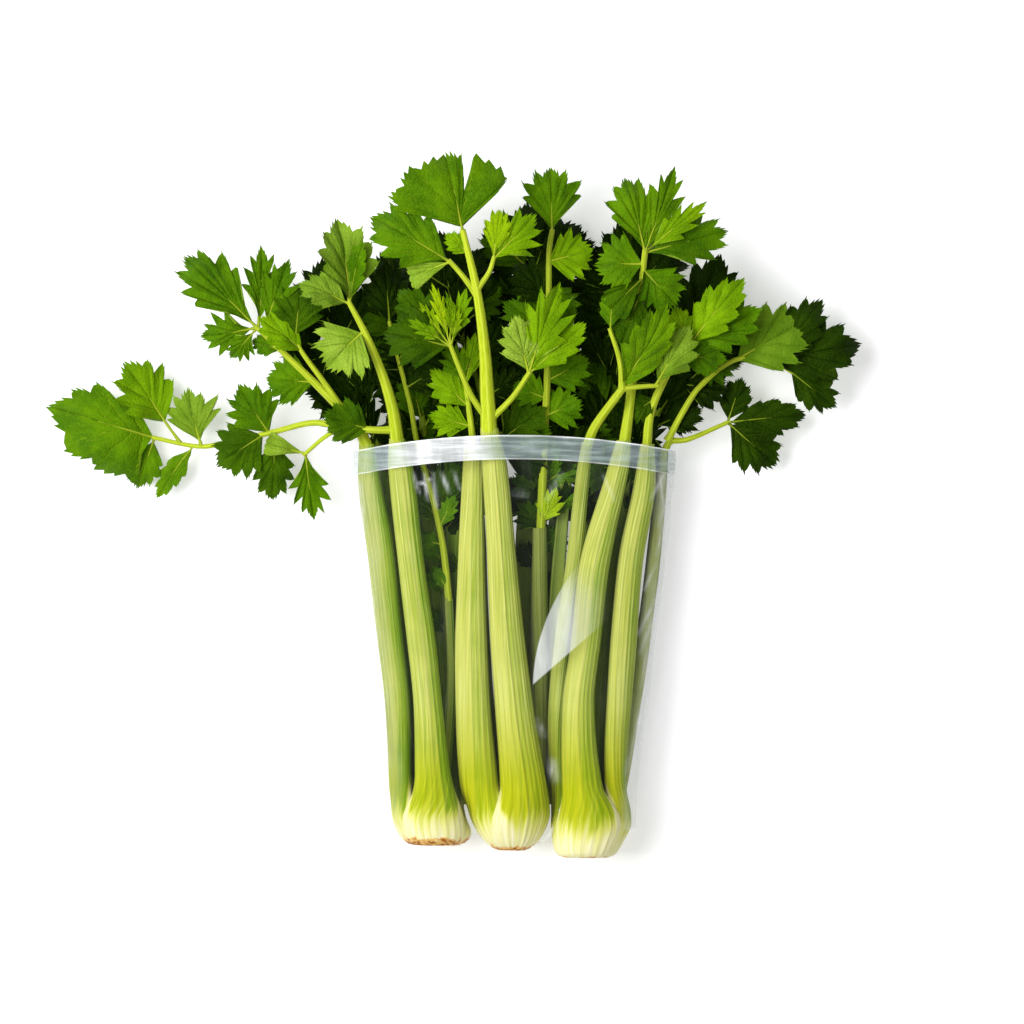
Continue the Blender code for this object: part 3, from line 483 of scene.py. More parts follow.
for name, (rows, count, deep) in STALKS.items():
    chance = random.Random(name)
    # Each rib: its place across the back, how tall and how wide it is.
    ribs = [(-0.88 + 1.76 * (k + chance.uniform(-0.28, 0.28)) / (count - 1), chance.uniform(0.25, 1.1),
             chance.uniform(0.36, 0.62) / count) for k in range(count)]
    # Each sheath ends a little above or below its neighbour's end.
    first = BUTTS[name.split("_")[0]][4] + 0.4 + 0.1 * int(name[-1]) if name in SHEATHS else rows[0][0]
    last = rows[-1][0]
    steps = int((last - first) / (2.0 if deep < 0.5 else 4.0))
    drawn = [stalk_ring(name, first + (last - first) * (k / steps) ** 1.15, ribs) for k in range(steps + 1)]
    skin = empty_skin()
    add_rings(skin, *zip(*drawn))
    made = grown(name + "_ribbed", skin, stalk_finish)
    if name not in INNER:
        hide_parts(name)


# LEAVES. Above the sleeve each stalk runs on as a round green stem that forks into twigs. Each leaflet is a
# thin blade, wedge-shaped at its base, cut into lobes with forward teeth, with pale veins that sink into it.

# Marks of the leaf finish: lightness, low on leaves deep in the bunch as painted shade, paleness of an
# underside turned up, yellowness of a young leaf. Its run goes round each half of a blade, a whole turn to a
# lobe, and out from the midrib.
leaf = Finish("Celery leaf", 0.45, 0.13, (0.60, 1.0, 0.10, 1))
light, under, young, _ = leaf.marks
run = leaf.node("ShaderNodeSeparateXYZ", {0: leaf.run}).outputs
wander = leaf.mask(leaf.noise(leaf.here, 0.006, 2.0), 0.30, 0.70, -0.09, 0.09)
around = leaf.math("ADD", run[0], wander)
outward = run[1]
# Veins: the midrib, one to each lobe, and finer ones to its teeth.
lobe = leaf.math("PINGPONG", around, 0.5)
tooth = leaf.math("PINGPONG", leaf.math("MULTIPLY", around, 2.0), 0.5)
midrib = leaf.mask(outward, 0.075, 0.02)
thin = leaf.mask(outward, 0.0, 1.0, 0.085, 0.018)
veins = leaf.math("MULTIPLY", leaf.mask(leaf.math("DIVIDE", lobe, thin), 1.0, 0.35),
                  leaf.mask(outward, 1.0, 0.60))
small = leaf.math("MULTIPLY", leaf.mask(leaf.math("DIVIDE", tooth, thin), 2.2, 0.8),
                  leaf.mask(outward, 0.95, 0.35, 0.0, 0.40))
veins = leaf.math("MAXIMUM", midrib, leaf.math("MAXIMUM", veins, small))
net = leaf.node("ShaderNodeTexVoronoi", {"Vector": leaf.here, "Scale": 520.0},
                feature="DISTANCE_TO_EDGE").outputs["Distance"]
# The blade goes from nearly black, painted shade deep in the bunch, to a bright green.
patch = leaf.noise(leaf.here, 0.014, 4.0)
grain = leaf.noise(leaf.here, 0.0016)
patchy = leaf.mask(patch, 0.35, 0.68)
dark = leaf.mix(patchy, (0.0008, 0.004, 0.0003), (0.003, 0.014, 0.0006))
mid = leaf.mix(patchy, (0.031, 0.105, 0.001), (0.072, 0.178, 0.001))
bright = leaf.mix(patchy, (0.120, 0.256, 0.001), (0.202, 0.366, 0.002))
rear = leaf.mix(patchy, (0.185, 0.305, 0.020), (0.275, 0.405, 0.042))
blade = leaf.mix(leaf.mask(light, 0.0, 0.5), dark, mid)
blade = leaf.mix(leaf.mask(light, 0.5, 1.0), blade, bright)
blade = leaf.mix(young, blade, (0.440, 0.540, 0.004))
turned = leaf.math("MULTIPLY", leaf.node("ShaderNodeNewGeometry").outputs["Backfacing"], 0.8)
blade = leaf.mix(leaf.math("MAXIMUM", under, turned), blade, rear)
grainy = leaf.math("MULTIPLY", light, leaf.mask(grain, 0.42, 0.70, 0.0, 0.35))
blade = leaf.mix(grainy, blade, (0.120, 0.230, 0.004))
vein = leaf.mix(light, (0.006, 0.022, 0.001), (0.230, 0.390, 0.008))
blade = leaf.mix(leaf.math("MULTIPLY", veins, 0.58), blade, vein)
blade = leaf.mix(leaf.mask(net, 0.12, 0.02, 0.0, 0.22), blade, vein)
leaf.feed("Base Color", blade)
leaf.feed("Roughness", leaf.mask(patch, 0.3, 0.7, 0.36, 0.52))
puffed = leaf.math("ADD", leaf.math("MULTIPLY", grain, 0.6),
                   leaf.math("MULTIPLY", leaf.mask(net, 0.0, 0.22), 0.7))
leaf.bump(leaf.math("SUBTRACT", puffed, leaf.math("MULTIPLY", veins, 0.9)), 0.00028)
leaf_finish = leaf.made

# Marks of the stem finish: rib, and a darker green, which is painted shade on a stem deep in the bunch or
# inside the sleeve, and the deeper green of thin stems.
stem = Finish("Celery stem", 0.40, 0.20, (0.90, 1.0, 0.25, 1))
rib, shade_and_green, _, _ = stem.marks
streak = stem.noise(stem.run, (0.25, 9, 1))
colour = stem.mix(stem.mask(streak, 0.35, 0.68), (0.310, 0.425, 0.006), (0.520, 0.600, 0.028))
colour = stem.mix(stem.mask(rib, 0.45, 1.0, 0.0, 0.6), colour, (0.660, 0.720, 0.090))
colour = stem.mix(shade_and_green, colour, (0.040, 0.095, 0.003))
stem.feed("Base Color", colour)
stem.feed("Roughness", stem.mask(streak, 0.3, 0.7, 0.32, 0.46))
stem.bump(streak, 0.0002)
stem_finish = stem.made

# Half outlines of a blade as corners (turn, sideways, along): from its base along the plain edge of its
# wedge, then out along each lobe's toothed edge to its tip at a whole turn and back to the cut. Last, how far
# up the midrib the veins leave it.
OUTLINES = {
    "lobed": (((0, 0.04, 0), (0.5, 0.56, 0.23), (1, 1.0, 0.43), (1.25, 0.80, 0.49), (2, 1.0, 0.70),
               (2.25, 0.64, 0.70), (3, 0.66, 0.91), (3.25, 0.40, 0.87), (4, 0, 1.02)),) * 2 + (0.50,),
    "narrow": (((0, 0.04, 0), (0.5, 0.54, 0.19), (1, 1.0, 0.41), (1.25, 0.84, 0.46), (2, 0.96, 0.67),
                (2.25, 0.70, 0.69), (3, 0.60, 0.88), (3.25, 0.38, 0.87), (4, 0, 1.01)),) * 2 + (0.60,),
    "cut": (((0, 0.04, 0), (0.5, 0.40, 0.26), (1, 1.0, 0.46), (1.25, 0.60, 0.47), (2, 0.94, 0.74),
             (2.25, 0.44, 0.66), (3, 0.56, 0.92), (3.25, 0.28, 0.84), (4, 0, 1.02)),) * 2 + (0.42,),
    "rolled": (((0, 0.04, 0), (0.5, 0.34, 0.40), (1, 0.66, 0.80), (1.25, 0.68, 0.88), (2, 0.60, 0.99),
                (2.25, 0.50, 1.01), (3, 0.30, 1.03), (3.25, 0.20, 1.03), (4, 0, 1.01)),) * 2 + (0.30,),
    "palm": (((0, 0.04, 0), (0.5, 0.36, 0.27), (1, 0.95, 0.55), (1.25, 0.74, 0.58), (2, 0.98, 0.80),
              (2.25, 0.56, 0.76), (3, 0.50, 0.99), (3.25, 0.26, 0.92), (4, 0, 1.02)),) * 2 + (0.36,),
    "fan": (((0, 0.04, 0), (0.5, 0.72, 0.27), (1, 1.24, 0.44), (1.25, 1.14, 0.51), (2, 1.14, 0.70),
             (2.25, 0.96, 0.75), (3, 0.66, 0.97), (3.25, 0.50, 0.94), (4, 0, 1.02)),
            ((0, 0.04, 0), (0.5, 0.60, 0.27), (1, 1.02, 0.47), (1.25, 0.98, 0.57), (2, 0.54, 0.94),
             (2.25, 0.20, 0.50), (3, 0.30, 0.99), (3.25, 0.22, 0.97), (4, 0, 1.02)), 0.22),
    "draped": (((0, 0.04, 0), (0.5, 0.41, 0.06), (1, 1.0, 0.01), (1.25, 0.86, 0.13), (2, 0.92, 0.42),
                (2.25, 0.76, 0.50), (3, 0.70, 0.76), (3.25, 0.42, 0.80), (4, 0, 1.02)),
               ((0, 0.04, 0), (0.5, 0.30, 0.14), (1, 0.62, 0.37), (1.25, 0.54, 0.42), (2, 0.74, 0.64),
                (2.25, 0.54, 0.68), (3, 0.46, 0.86), (3.25, 0.30, 0.84), (4, 0, 1.02)), 0.45),
}
# Four teeth to a lobe. Each has three points, by their place between one tooth's foot and the next, and how
# far they stand out.
TEETH = 16
TOOTH_POINTS = ((0.0, 0), (0.45, 0.5), (0.85, 1))
BLADE_LOWEST = 0.6
# How a leaflet is coloured: lightness, its own tone and, at its lowest, painted shade deep in the bunch;
# paleness; yellowness.
LOOKS = {"bright": (0.82, 0, 0), "light": (0.74, 0, 0), "full": (0.54, 0, 0), "mid": (0.50, 0, 0),
         "dim": (0.24, 0, 0), "dark": (0.10, 0, 0), "deep": (0.04, 0, 0), "dull": (0.56, 0.30, 0),
         "half_pale": (0.5, 0.55, 0), "pale": (0.6, 0.95, 0), "fresh": (0.85, 0, 0.20),
         "young": (0.95, 0, 0.42)}


def add_stem(skin, points, first, last, shade_and_green, sides=14, flare=0.35):
    """Adds a tapering ribbed stem on a smooth path through the points, flared where it leaves another."""
    rows = [(k,) + tuple(p) for k, p in enumerate(points)]
    count = 6 * (len(points) - 1)
    path = [Vector(between(rows, (len(points) - 1) * k / count)) for k in range(count + 1)]
    rings, runs, marks = [], [], []
    gone = 0.0
    for k, spot in enumerate(path):
        ahead = (path[min(k + 1, count)] - path[max(k - 1, 0)]).normalized()
        side = ahead.cross(Vector((0, 0, 1))).normalized()
        up = side.cross(ahead)
        gone += (spot - path[max(k - 1, 0)]).length
        thick = first + (last - first) * k / count + flare * first * math.exp(-gone / 2.5)
        ring, run, mark = [], [], []
        for i in range(sides):
            turn = math.tau * i / sides - 0.5 * math.pi
            rib = 1.0 if i % 2 else 0.0
            r = thick * (0.97 + 0.06 * rib)
            at = spot + side * (r * math.cos(turn)) + up * (r * math.sin(turn))
            ring.append(placed(*at))
            run.append((thick * turn, gone))
            mark.append((rib, shade_and_green, 0, 0))
        rings.append(ring)
        runs.append(run)
        marks.append(mark)
    add_rings(skin, rings, runs, marks, finish=1)


def nearest(stems, spot, inside):
    """The point on the stems' middle lines nearest the spot from above, a little inside of a stem's end."""
    best, least = None, 1e9
    for points, _, _ in stems:
        for a, b in zip(points, points[1:]):
            a, b = Vector(a), Vector(b)
            way = (b - a).xy
            most = 1.0 - (inside / (b - a).length if b == Vector(points[-1]) else 0.0)
            t = max(0.0, min(most, (Vector(spot) - a.xy).dot(way) / way.length_squared))
            found = a.lerp(b, t)
            if (found.xy - Vector(spot)).length < least:
                best, least = found, (found.xy - Vector(spot)).length
    return best


def add_blade(skin, root, spot, tip, width, form, look, roll, fold, chance, across=7):
    """Adds a leaflet: a short stem from its root, then a lobed and toothed blade, folded, bowed and waved."""
    base = root.lerp(tip, min(0.30, (Vector(spot) - root.xy).length / (tip.xy - root.xy).length))
    long = (tip - base).length
    along = (tip - base).normalized()
    side = along.cross(Vector((0, 0, 1))).normalized()
    up = side.cross(along)
    c, s = math.cos(math.radians(roll)), math.sin(math.radians(roll))
    side, up = side * c - up * s, up * c + side * s
    half = 0.55 * width
    bow = chance.uniform(0.03, 0.12) * long
    droop = chance.uniform(-0.02, 0.10) * long
    quilt = chance.uniform(0.018, 0.034) * width * (0.3 if form == "rolled" else 1.0)
    billow = 0.16 * width
    light, pale, young = LOOKS[look]
    light = min(1.0, max(0.0, light * chance.uniform(0.80, 1.20)))

    def lifted(x, y, part, turn, sways):
        """The blade's surface at a place on it: folded, bowed, puffed between its veins, each lobe swayed."""
        lift = fold * abs(x) + bow * math.sin(math.pi * y) - droop * y * y - 0.20 * x * x / half
        lift += quilt * math.sin(math.pi * (turn % 1.0)) * 4 * part * (1 - 0.75 * part)
        swell = noise.noise(Vector((x / (0.42 * width), y * long / (0.42 * width), 20 * bow + width)))
        lift += billow * swell * (0.4 + 0.6 * part)
        j = int(turn)
        sway = sways[j] + (sways[j + 1] - sways[j]) * (turn - j)
        there = base + along * (long * y) + side * x + up * (lift + sway * part * part)
        there.z = max(there.z, BLADE_LOWEST)
        return there

    spread = OUTLINES[form][2]
    tip_sway = chance.uniform(-0.10, 0.07) * width
    for hand, corners in zip((-1, 1), OUTLINES[form]):
        rings, runs, marks = [], [], []
        corners = [corners[0]] + [(turn, x * chance.uniform(0.92, 1.06), y + chance.uniform(-0.025, 0.025))
                                  for turn, x, y in corners[1:-1]] + [corners[-1]]
        sways = [chance.uniform(-0.10, 0.07) * width for _ in range(4)] + [tip_sway, tip_sway]
        teeth = [chance.uniform(0.6, 1.25) * min(3.0, 0.065 * width + 0.6) for _ in range(TEETH + 1)]
        for k in range(TEETH * 3 + 1):
            beat, stands = TOOTH_POINTS[k % 3]
            turn = 0.25 * (k // 3 + beat)
            j = max(i for i in range(8) if corners[i][0] <= turn)
            t = (turn - corners[j][0]) / (corners[j + 1][0] - corners[j][0])
            puff = 1 + (0.07 * math.sin(math.pi * t) if turn > 0.5 else 0)
            x = (corners[j][1] * (1 - t) + corners[j + 1][1] * t) * puff
            y = (corners[j][2] * (1 - t) + corners[j + 1][2] * t) * (1 + 0.3 * (puff - 1))
            foot = spread * (turn / 4) ** 1.2
            toothed = 0.0 if turn < 0.5 or (k // 3) % 4 == 0 or form == "rolled" else 1.0
            reach = math.hypot(x * half, (y - foot) * long)
            grow = 1 + toothed * teeth[k // 3] * stands / max(reach, 3)
            x, rise = x * half * grow, (y - foot) * grow
            row, run, mark = [], [], []
            for i in range(across + 1):
                part = (i / across) ** 1.1
                row.append(placed(*lifted(hand * x * part, foot + rise * part, part, turn, sways)))
                run.append((turn, part))
                mark.append((light, pale, young, part))
            rings.append(row)
            runs.append(run)
            marks.append(mark)
        if hand < 0:
            rings, runs, marks = rings[::-1], runs[::-1], marks[::-1]
        add_rings(skin, rings, runs, marks, finish=0, closed=False)
    middle = [lifted(0, y, 0, 0, (0, 0)) - up * 0.15 for y in (0.0, 0.25, 0.55)]
    # The leaflet's short stem is a deeper green, and darker with its leaflet's painted shade.
    shade_and_green = 0.28 + 0.5 * (1 - light) * (1 - pale)
    add_stem(skin, [root] + middle, min(1.1, 0.030 * width + 0.35), 0.25, shade_and_green, 6)


# Each spray: its stems as (points of across, along, up; first and last radius), then its leaflets as (blade's
# base, tip, width, rise of the tip, form, look, roll in degrees, fold). What a leaflet doesn't give is as on
# the ones deep in the bunch, painted dark as shade.
DEEP_LEAFLET = ("lobed", "deep", 0, 0)
SPRAYS = {
    "left_leaves_1": (
        ((((-82.4, 234.4, 35.2), (-89, 247, 38), (-103.7, 262.2, 42), (-124, 282, 46),
           (-146, 303, 49)), 3.6, 1.3),
         (((-96, 255, 40), (-107, 271, 46), (-118, 286, 50), (-124, 296, 52)), 1.9, 1.1)),
        ((-147.5, 306, -184.5, 341, 31, 0, "palm", "mid", 8, 0.1),
         (-148, 305, -176, 297, 24, -3, "cut", "mid", -12),
         (-149, 303, -160, 285.6, 17, -5, "cut", "mid", 0, 0.1),
         (-140, 306, -142, 346.6, 22, 2, "cut", "mid", 10, 0.3),
         (-137, 304, -127.5, 339, 22, 4, "cut", "mid", -10, 0.3),
         (-125, 298, -120, 325, 26, 3, "lobed", "dim", 0, 0.2),
         (-120, 289, -143, 307, 18, 5, "narrow", "light", 20, 0.3),
         (-131, 290, -148, 295, 11, -4, "narrow", "mid"),
         (-113, 271, -138, 273, 25, -5, "lobed", "mid", 0, 0.1))),
    "left_leaves_2": (
        ((((-65.3, 237.4, 44), (-68, 256, 49), (-74.1, 276.5, 54), (-83, 298, 58), (-93, 317, 61)), 4, 1.4),
         (((-66.4, 244, 45.5), (-80, 244, 47), (-97, 246, 45), (-114.6, 248, 38), (-136.8, 242.8, 28),
           (-163, 237.1, 19), (-180.1, 234.8, 15), (-206.3, 240, 13)), 2.2, 1.2),
         (((-97, 246, 45), (-108, 239, 38), (-119, 229.7, 30)), 1.4, 1.1)),
        ((-206.5, 240, -262.8, 257, 51, 4, "draped", "mid", 6, 0.1),
         (-207.5, 239, -214.8, 212, 18, -3, "narrow", "mid", 8, 0.1),
         (-187, 252, -220.5, 280.5, 31, 6, "lobed", "light", 10, 0.15),
         (-178.5, 238.5, -186, 264, 30, 8, "palm", "half_pale", -20, 0.2),
         (-183, 233, -203.5, 206.3, 13, -4, "narrow", "light", 30, 0.2),
         (-139, 243, -155, 268, 26, 4, "lobed", "mid", -8, 0.15),
         (-141, 240, -167, 225, 29, -2, "lobed", "dim", 0, 0.1),
         (-134, 238, -137, 206, 21, -10, "lobed", "dim", 0, 0.1),
         (-120, 230.5, -139.5, 236.5, 18, 4, "rolled", "pale", 0, 0.1),
         (-118.5, 229, -113.5, 194, 21, -8, "cut", "mid", 6, 0.2),
         (-80, 246, -106, 252, 22, 6, "narrow", "dim", 0, 0.1),
         (-93, 318, -97, 361, 30, 4, "lobed", "half_pale", 14, 0.5),
         (-92, 320, -85, 350, 13, 8, "narrow", "mid", -30, 0.3),
         (-95, 316, -119.7, 326.6, 18, 3, "narrow", "half_pale", 20, 0.2),
         (-82.6, 301, -104, 281, 34, 5, "lobed", "pale", 12, 0.3))),
    "left_leaves_3": (
        ((((-36, 146.4, 31), (-39, 175, 31), (-44, 200, 30), (-54, 236, 31), (-58, 258, 33), (-66, 289, 37),
           (-70, 306, 39)), 2.2, 1.1),),
        ((-38, 152, -44, 165, 7, 2, "narrow", "mid"), (-42, 178, -54, 182, 8, 2, "narrow", "mid"),
         (-41, 188, -33, 206, 9, 3, "lobed", "mid"), (-70, 306, -73, 338, 24, 2, "lobed", "deep", 0, 0.1),
         (-65, 284, -48, 306, 22, 3, "lobed", "deep", 0, 0.1),
         (-60, 268, -44, 278, 18, 1, "lobed", "deep", 0, 0.1))),
    "left_leaves_4": (
        ((((-76.4, 234.4, 16), (-84, 258, 14), (-96, 286, 13), (-104, 304, 13)), 2.6, 1.2),),
        ((-102, 300, -128, 318, 32, 0), (-104, 304, -108, 340, 32, 2), (-99, 292, -80, 324, 34, 1),
         (-92, 276, -118, 268, 28, -4), (-88, 268, -76, 292, 24, 0))),
    "left_leaves_5": (
        ((((-50, 234.4, 16), (-52, 262, 14), (-56, 300, 12), (-57, 316, 12)), 2.6, 1.2),),
        ((-57, 314, -74, 344, 34, 1), (-57, 316, -44, 348, 33, 2), (-56, 300, -30, 318, 32, 1),
         (-55, 290, -84, 302, 34, 0), (-53, 272, -32, 288, 30, 0), (-52, 258, -74, 266, 28, 1))),
    "middle_leaves_1": (
        ((((-21.9, 234.4, 35.5), (-24.5, 256, 40), (-27, 274, 44)), 2.2, 1.2),),
        ((-24.4, 246, -46, 252, 17, 2, "lobed", "light", 0, 0.1),
         (-25.5, 257, -45, 277, 19, 2, "lobed", "light", 0, 0.1),
         (-27, 272, -37, 293, 16, 2, "cut", "light", 0, 0.2),
         (-26.5, 270, -21, 298, 13, 2, "cut", "light", 0, 0.2))),
    "middle_leaves_2": (
        ((((-13.1, 243.4, 45.5), (-14.3, 268, 52), (-15.6, 290, 60), (-20, 323, 70),
           (-28, 357, 77)), 4.8, 1.7),
         (((-13.4, 249, 47), (-24, 265, 54), (-35.3, 292.4, 62)), 2, 1.3),
         (((-13, 249, 47), (0, 262, 52), (10.3, 277, 57)), 2, 1.4),
         (((-20.4, 321, 69.1), (-28, 331, 71), (-36, 340, 72)), 1.8, 1.3),
         (((-19.6, 323.4, 70.3), (-13, 333, 71), (-10, 342, 72)), 1.6, 1.2)),
        ((-28, 359, -37, 397, 53, 2, "fan", "full", 0, 0.1),
         (-37, 341, -77.5, 363.7, 31, 0, "lobed", "full", 0, 0.1),
         (-37, 339, -58, 331, 22, -4, "rolled", "pale", 0, 0.1),
         (-25, 344, -37, 354, 11, 2, "narrow", "light"), (-10, 342, -7, 367, 15, 3, "palm", "fresh", 0, 0.2),
         (-9.5, 342, 12, 364, 28, 1, "cut", "light", 0, 0.1),
         (-37, 297, -45, 326, 8, 6, "cut", "young", 10, 0.2),
         (-38, 299, -52, 315, 8, 5, "cut", "fresh", 0, 0.2),
         (-36.5, 297, -36.5, 321, 7, 7, "cut", "light", 20, 0.2),
         (-37, 296, -58, 306, 9, 3, "cut", "light", 0, 0.2),
         (-36, 296, -30, 312, 7, 5, "cut", "fresh", 0, 0.2),
         (-36.5, 291, -71, 299, 30, -3, "lobed", "dim", 0, 0.1),
         (-37, 295, -63, 322, 24, -4, "lobed", "dim", 0, 0.1),
         (-34, 295, -26, 323, 13, 2, "cut", "light", 0, 0.2),
         (9.6, 278, 2, 307, 22, 4, "lobed", "pale", 0, 0.1),
         (11, 278, 26, 325, 28, 3, "cut", "bright", 0, 0.1),
         (11.6, 277, 41, 303, 17, 0, "lobed", "light", 0, 0.1))),
    "middle_leaves_3": (
        ((((16.5, 186.4, 30), (17.5, 214, 31), (18.5, 240, 32), (20, 270, 36), (21, 310, 42), (21.1, 344, 47),
           (23, 358, 49)), 2.8, 1.4),),
        ((17, 190, 25, 210, 15, 3, "cut", "young", 0, 0.1), (23, 358, 22, 391, 31, 3, "palm", "mid", 0, 0.15),
         (21, 340, 44, 346, 26, 1, "lobed", "light", 0, 0.1), (21, 324, 35, 309, 19, -2, "lobed", "mid"),
         (21, 318, 3, 337, 24, 1, "lobed", "deep", 0, 0.1), (20, 272, 42, 284, 23, 2, "lobed", "mid", 0, 0.1),
         (19, 252, 38, 260, 23, 2, "lobed", "mid", 0, 0.1), (20, 262, 2, 269, 18, 1, "lobed", "mid"),
         (19, 244, 2, 249, 16, 1, "lobed", "dim"), (21, 300, -3, 316, 22, 3, "lobed", "mid", 0, 0.1))),
    "middle_leaves_4": (
        ((((-23, 234.4, 15), (-28, 262, 9), (-36, 300, 6), (-40, 316, 6)), 2.6, 1.2),),
        ((-38, 308, -66, 320, 32, 0), (-40, 314, -54, 348, 32, 0), (-36, 300, -12, 316, 32, 0),
         (-33, 288, -60, 284, 28, 0), (-30, 272, -6, 288, 30, 0), (-26, 254, -48, 262, 24, 0))),
    "middle_leaves_5": (
        ((((7, 234.4, 15), (8, 262, 12), (11, 304, 10), (12, 340, 10)), 2.6, 1.2),),
        ((11, 334, -14, 358, 34, 0), (12, 340, 8, 372, 32, 1), (12, 336, 38, 360, 34, 0),
         (11, 312, 42, 326, 34, 0), (11, 306, -16, 330, 34, 0), (9, 278, -12, 296, 28, 0),
         (9, 282, 38, 298, 34, 0), (8, 256, 32, 268, 28, 0), (8, 250, -12, 262, 22, 0))),
    "middle_leaves_6": (
        ((((-10.6, 234.4, 30), (-17, 262, 29), (-28, 296, 28), (-36, 326, 28)), 2.4, 1.2),),
        ((-36, 325, -64, 343, 28, 0, "lobed", "deep", 0, 0.1),
         (-36, 326, -44, 356, 27, 1, "lobed", "deep", 0, 0.1), (-34, 318, -18, 346, 24, 1),
         (-29, 300, -56, 306, 26, 0), (-26, 288, -8, 308, 22, 0), (-21, 264, -4, 272, 18, 0))),
    "right_leaves_1": (
        ((((43.1, 235.4, 43), (48, 247, 47), (62.7, 267.3, 55)), 3.1, 2.2),
         (((62.7, 267.3, 55), (61, 284, 60), (55.3, 301.5, 63)), 1.9, 1.2),
         (((62.7, 267.3, 55), (72, 268.4, 55), (83, 269, 53)), 1.7, 1.2)),
        ((63.5, 269, 88, 312, 24, 12, "narrow", "bright", 20, 0.2),
         (55, 302, 57, 322, 12, 2, "narrow", "mid"),
         (84.5, 270, 100, 301, 22, 2, "lobed", "half_pale", 0, 0.1))),
    "right_leaves_2": (
        ((((64, 236.4, 44), (67.5, 262, 43), (71, 300, 46), (75.5, 346, 70)), 3.4, 1.6),),
        ((75, 347, 65, 384, 27, 2, "palm", "mid", 0, 0.1), (76, 347, 92, 391, 21, 3, "cut", "mid", 0, 0.1),
         (77, 347, 109, 372, 15, 3, "cut", "light", 0, 0.1),
         (77, 344, 120, 356, 26, -1, "palm", "mid", 0, 0.1),
         (73.6, 338, 49, 338, 30, -3, "lobed", "mid", 0, 0.1),
         (72, 330, 57, 313, 25, 6, "rolled", "dim", 0, 0.1),
         (72, 322, 62, 292, 22, 3, "lobed", "dim", 0, 0.1),
         (71, 306, 84, 290, 20, 2, "lobed", "dark", 0, 0.1),
         (73.6, 335, 92, 316, 26, -4, "lobed", "mid", 0, 0.1))),
    "right_leaves_3": (
        ((((76.8, 234.4, 38), (79, 254, 40), (87, 273, 43), (95, 286, 45), (101.5, 293, 46)), 2.8, 1.4),),
        ((101.5, 294, 131, 329, 21, 4, "narrow", "light", 0, 0.2),
         (102.5, 292, 140, 312, 25, 1, "lobed", "mid", 0, 0.1), (100, 293, 93, 313, 15, 2, "narrow", "light"),
         (97, 286, 121, 284, 19, 0, "narrow", "mid"), (84, 262, 66, 252, 16, 0, "lobed", "dim"))),
    "right_leaves_4": (
        ((((87.3, 232.4, 26), (91, 237.6, 25.5), (101.5, 239, 23), (124.8, 249.1, 18)), 2.2, 1.2),
         (((89, 238, 26), (98, 255, 29), (108, 269.6, 30), (127, 284, 30), (147, 284, 28),
           (162, 276, 24)), 2, 1.1)),
        ((124.6, 250, 131, 273, 17, 4, "narrow", "dark", 0, 0.1),
         (126, 249.6, 167, 253, 19, 0, "narrow", "dark", 0, 0.1),
         (126, 248, 150, 225, 27, -3, "lobed", "dark", 0, 0.1),
         (128, 285, 166, 306, 35, 4, "lobed", "dull", 0, 0.1),
         (148, 284, 197, 293, 31, -2, "lobed", "dark", 0, 0.1),
         (150, 286, 176, 316, 22, 6, "lobed", "dark", 0, 0.1),
         (160, 277, 184, 258, 20, -4, "lobed", "dark", 0, 0.1))),
    "right_leaves_5": (
        ((((53, 234.4, 15), (58, 262, 12), (65, 300, 10), (69, 326, 10)), 2.6, 1.2),),
        ((68, 322, 42, 346, 34, 0), (69, 326, 64, 362, 33, 0), (69, 324, 94, 350, 34, 0),
         (65, 302, 38, 316, 32, 0), (66, 304, 94, 318, 34, 0), (62, 282, 36, 284, 30, 0),
         (59, 266, 84, 280, 30, 0), (56, 254, 38, 258, 24, 0))),
    "right_leaves_6": (
        ((((75, 234.4, 15), (86, 260, 20), (100, 286, 24)), 2.6, 1.2),),
        ((100, 286, 118, 342, 34, 1), (100, 285, 136, 304, 32, 0), (97, 280, 92, 318, 30, 1),
         (92, 270, 120, 272, 26, 0), (84, 256, 106, 251, 22, 0), (85, 258, 66, 270, 22, 1))),
}

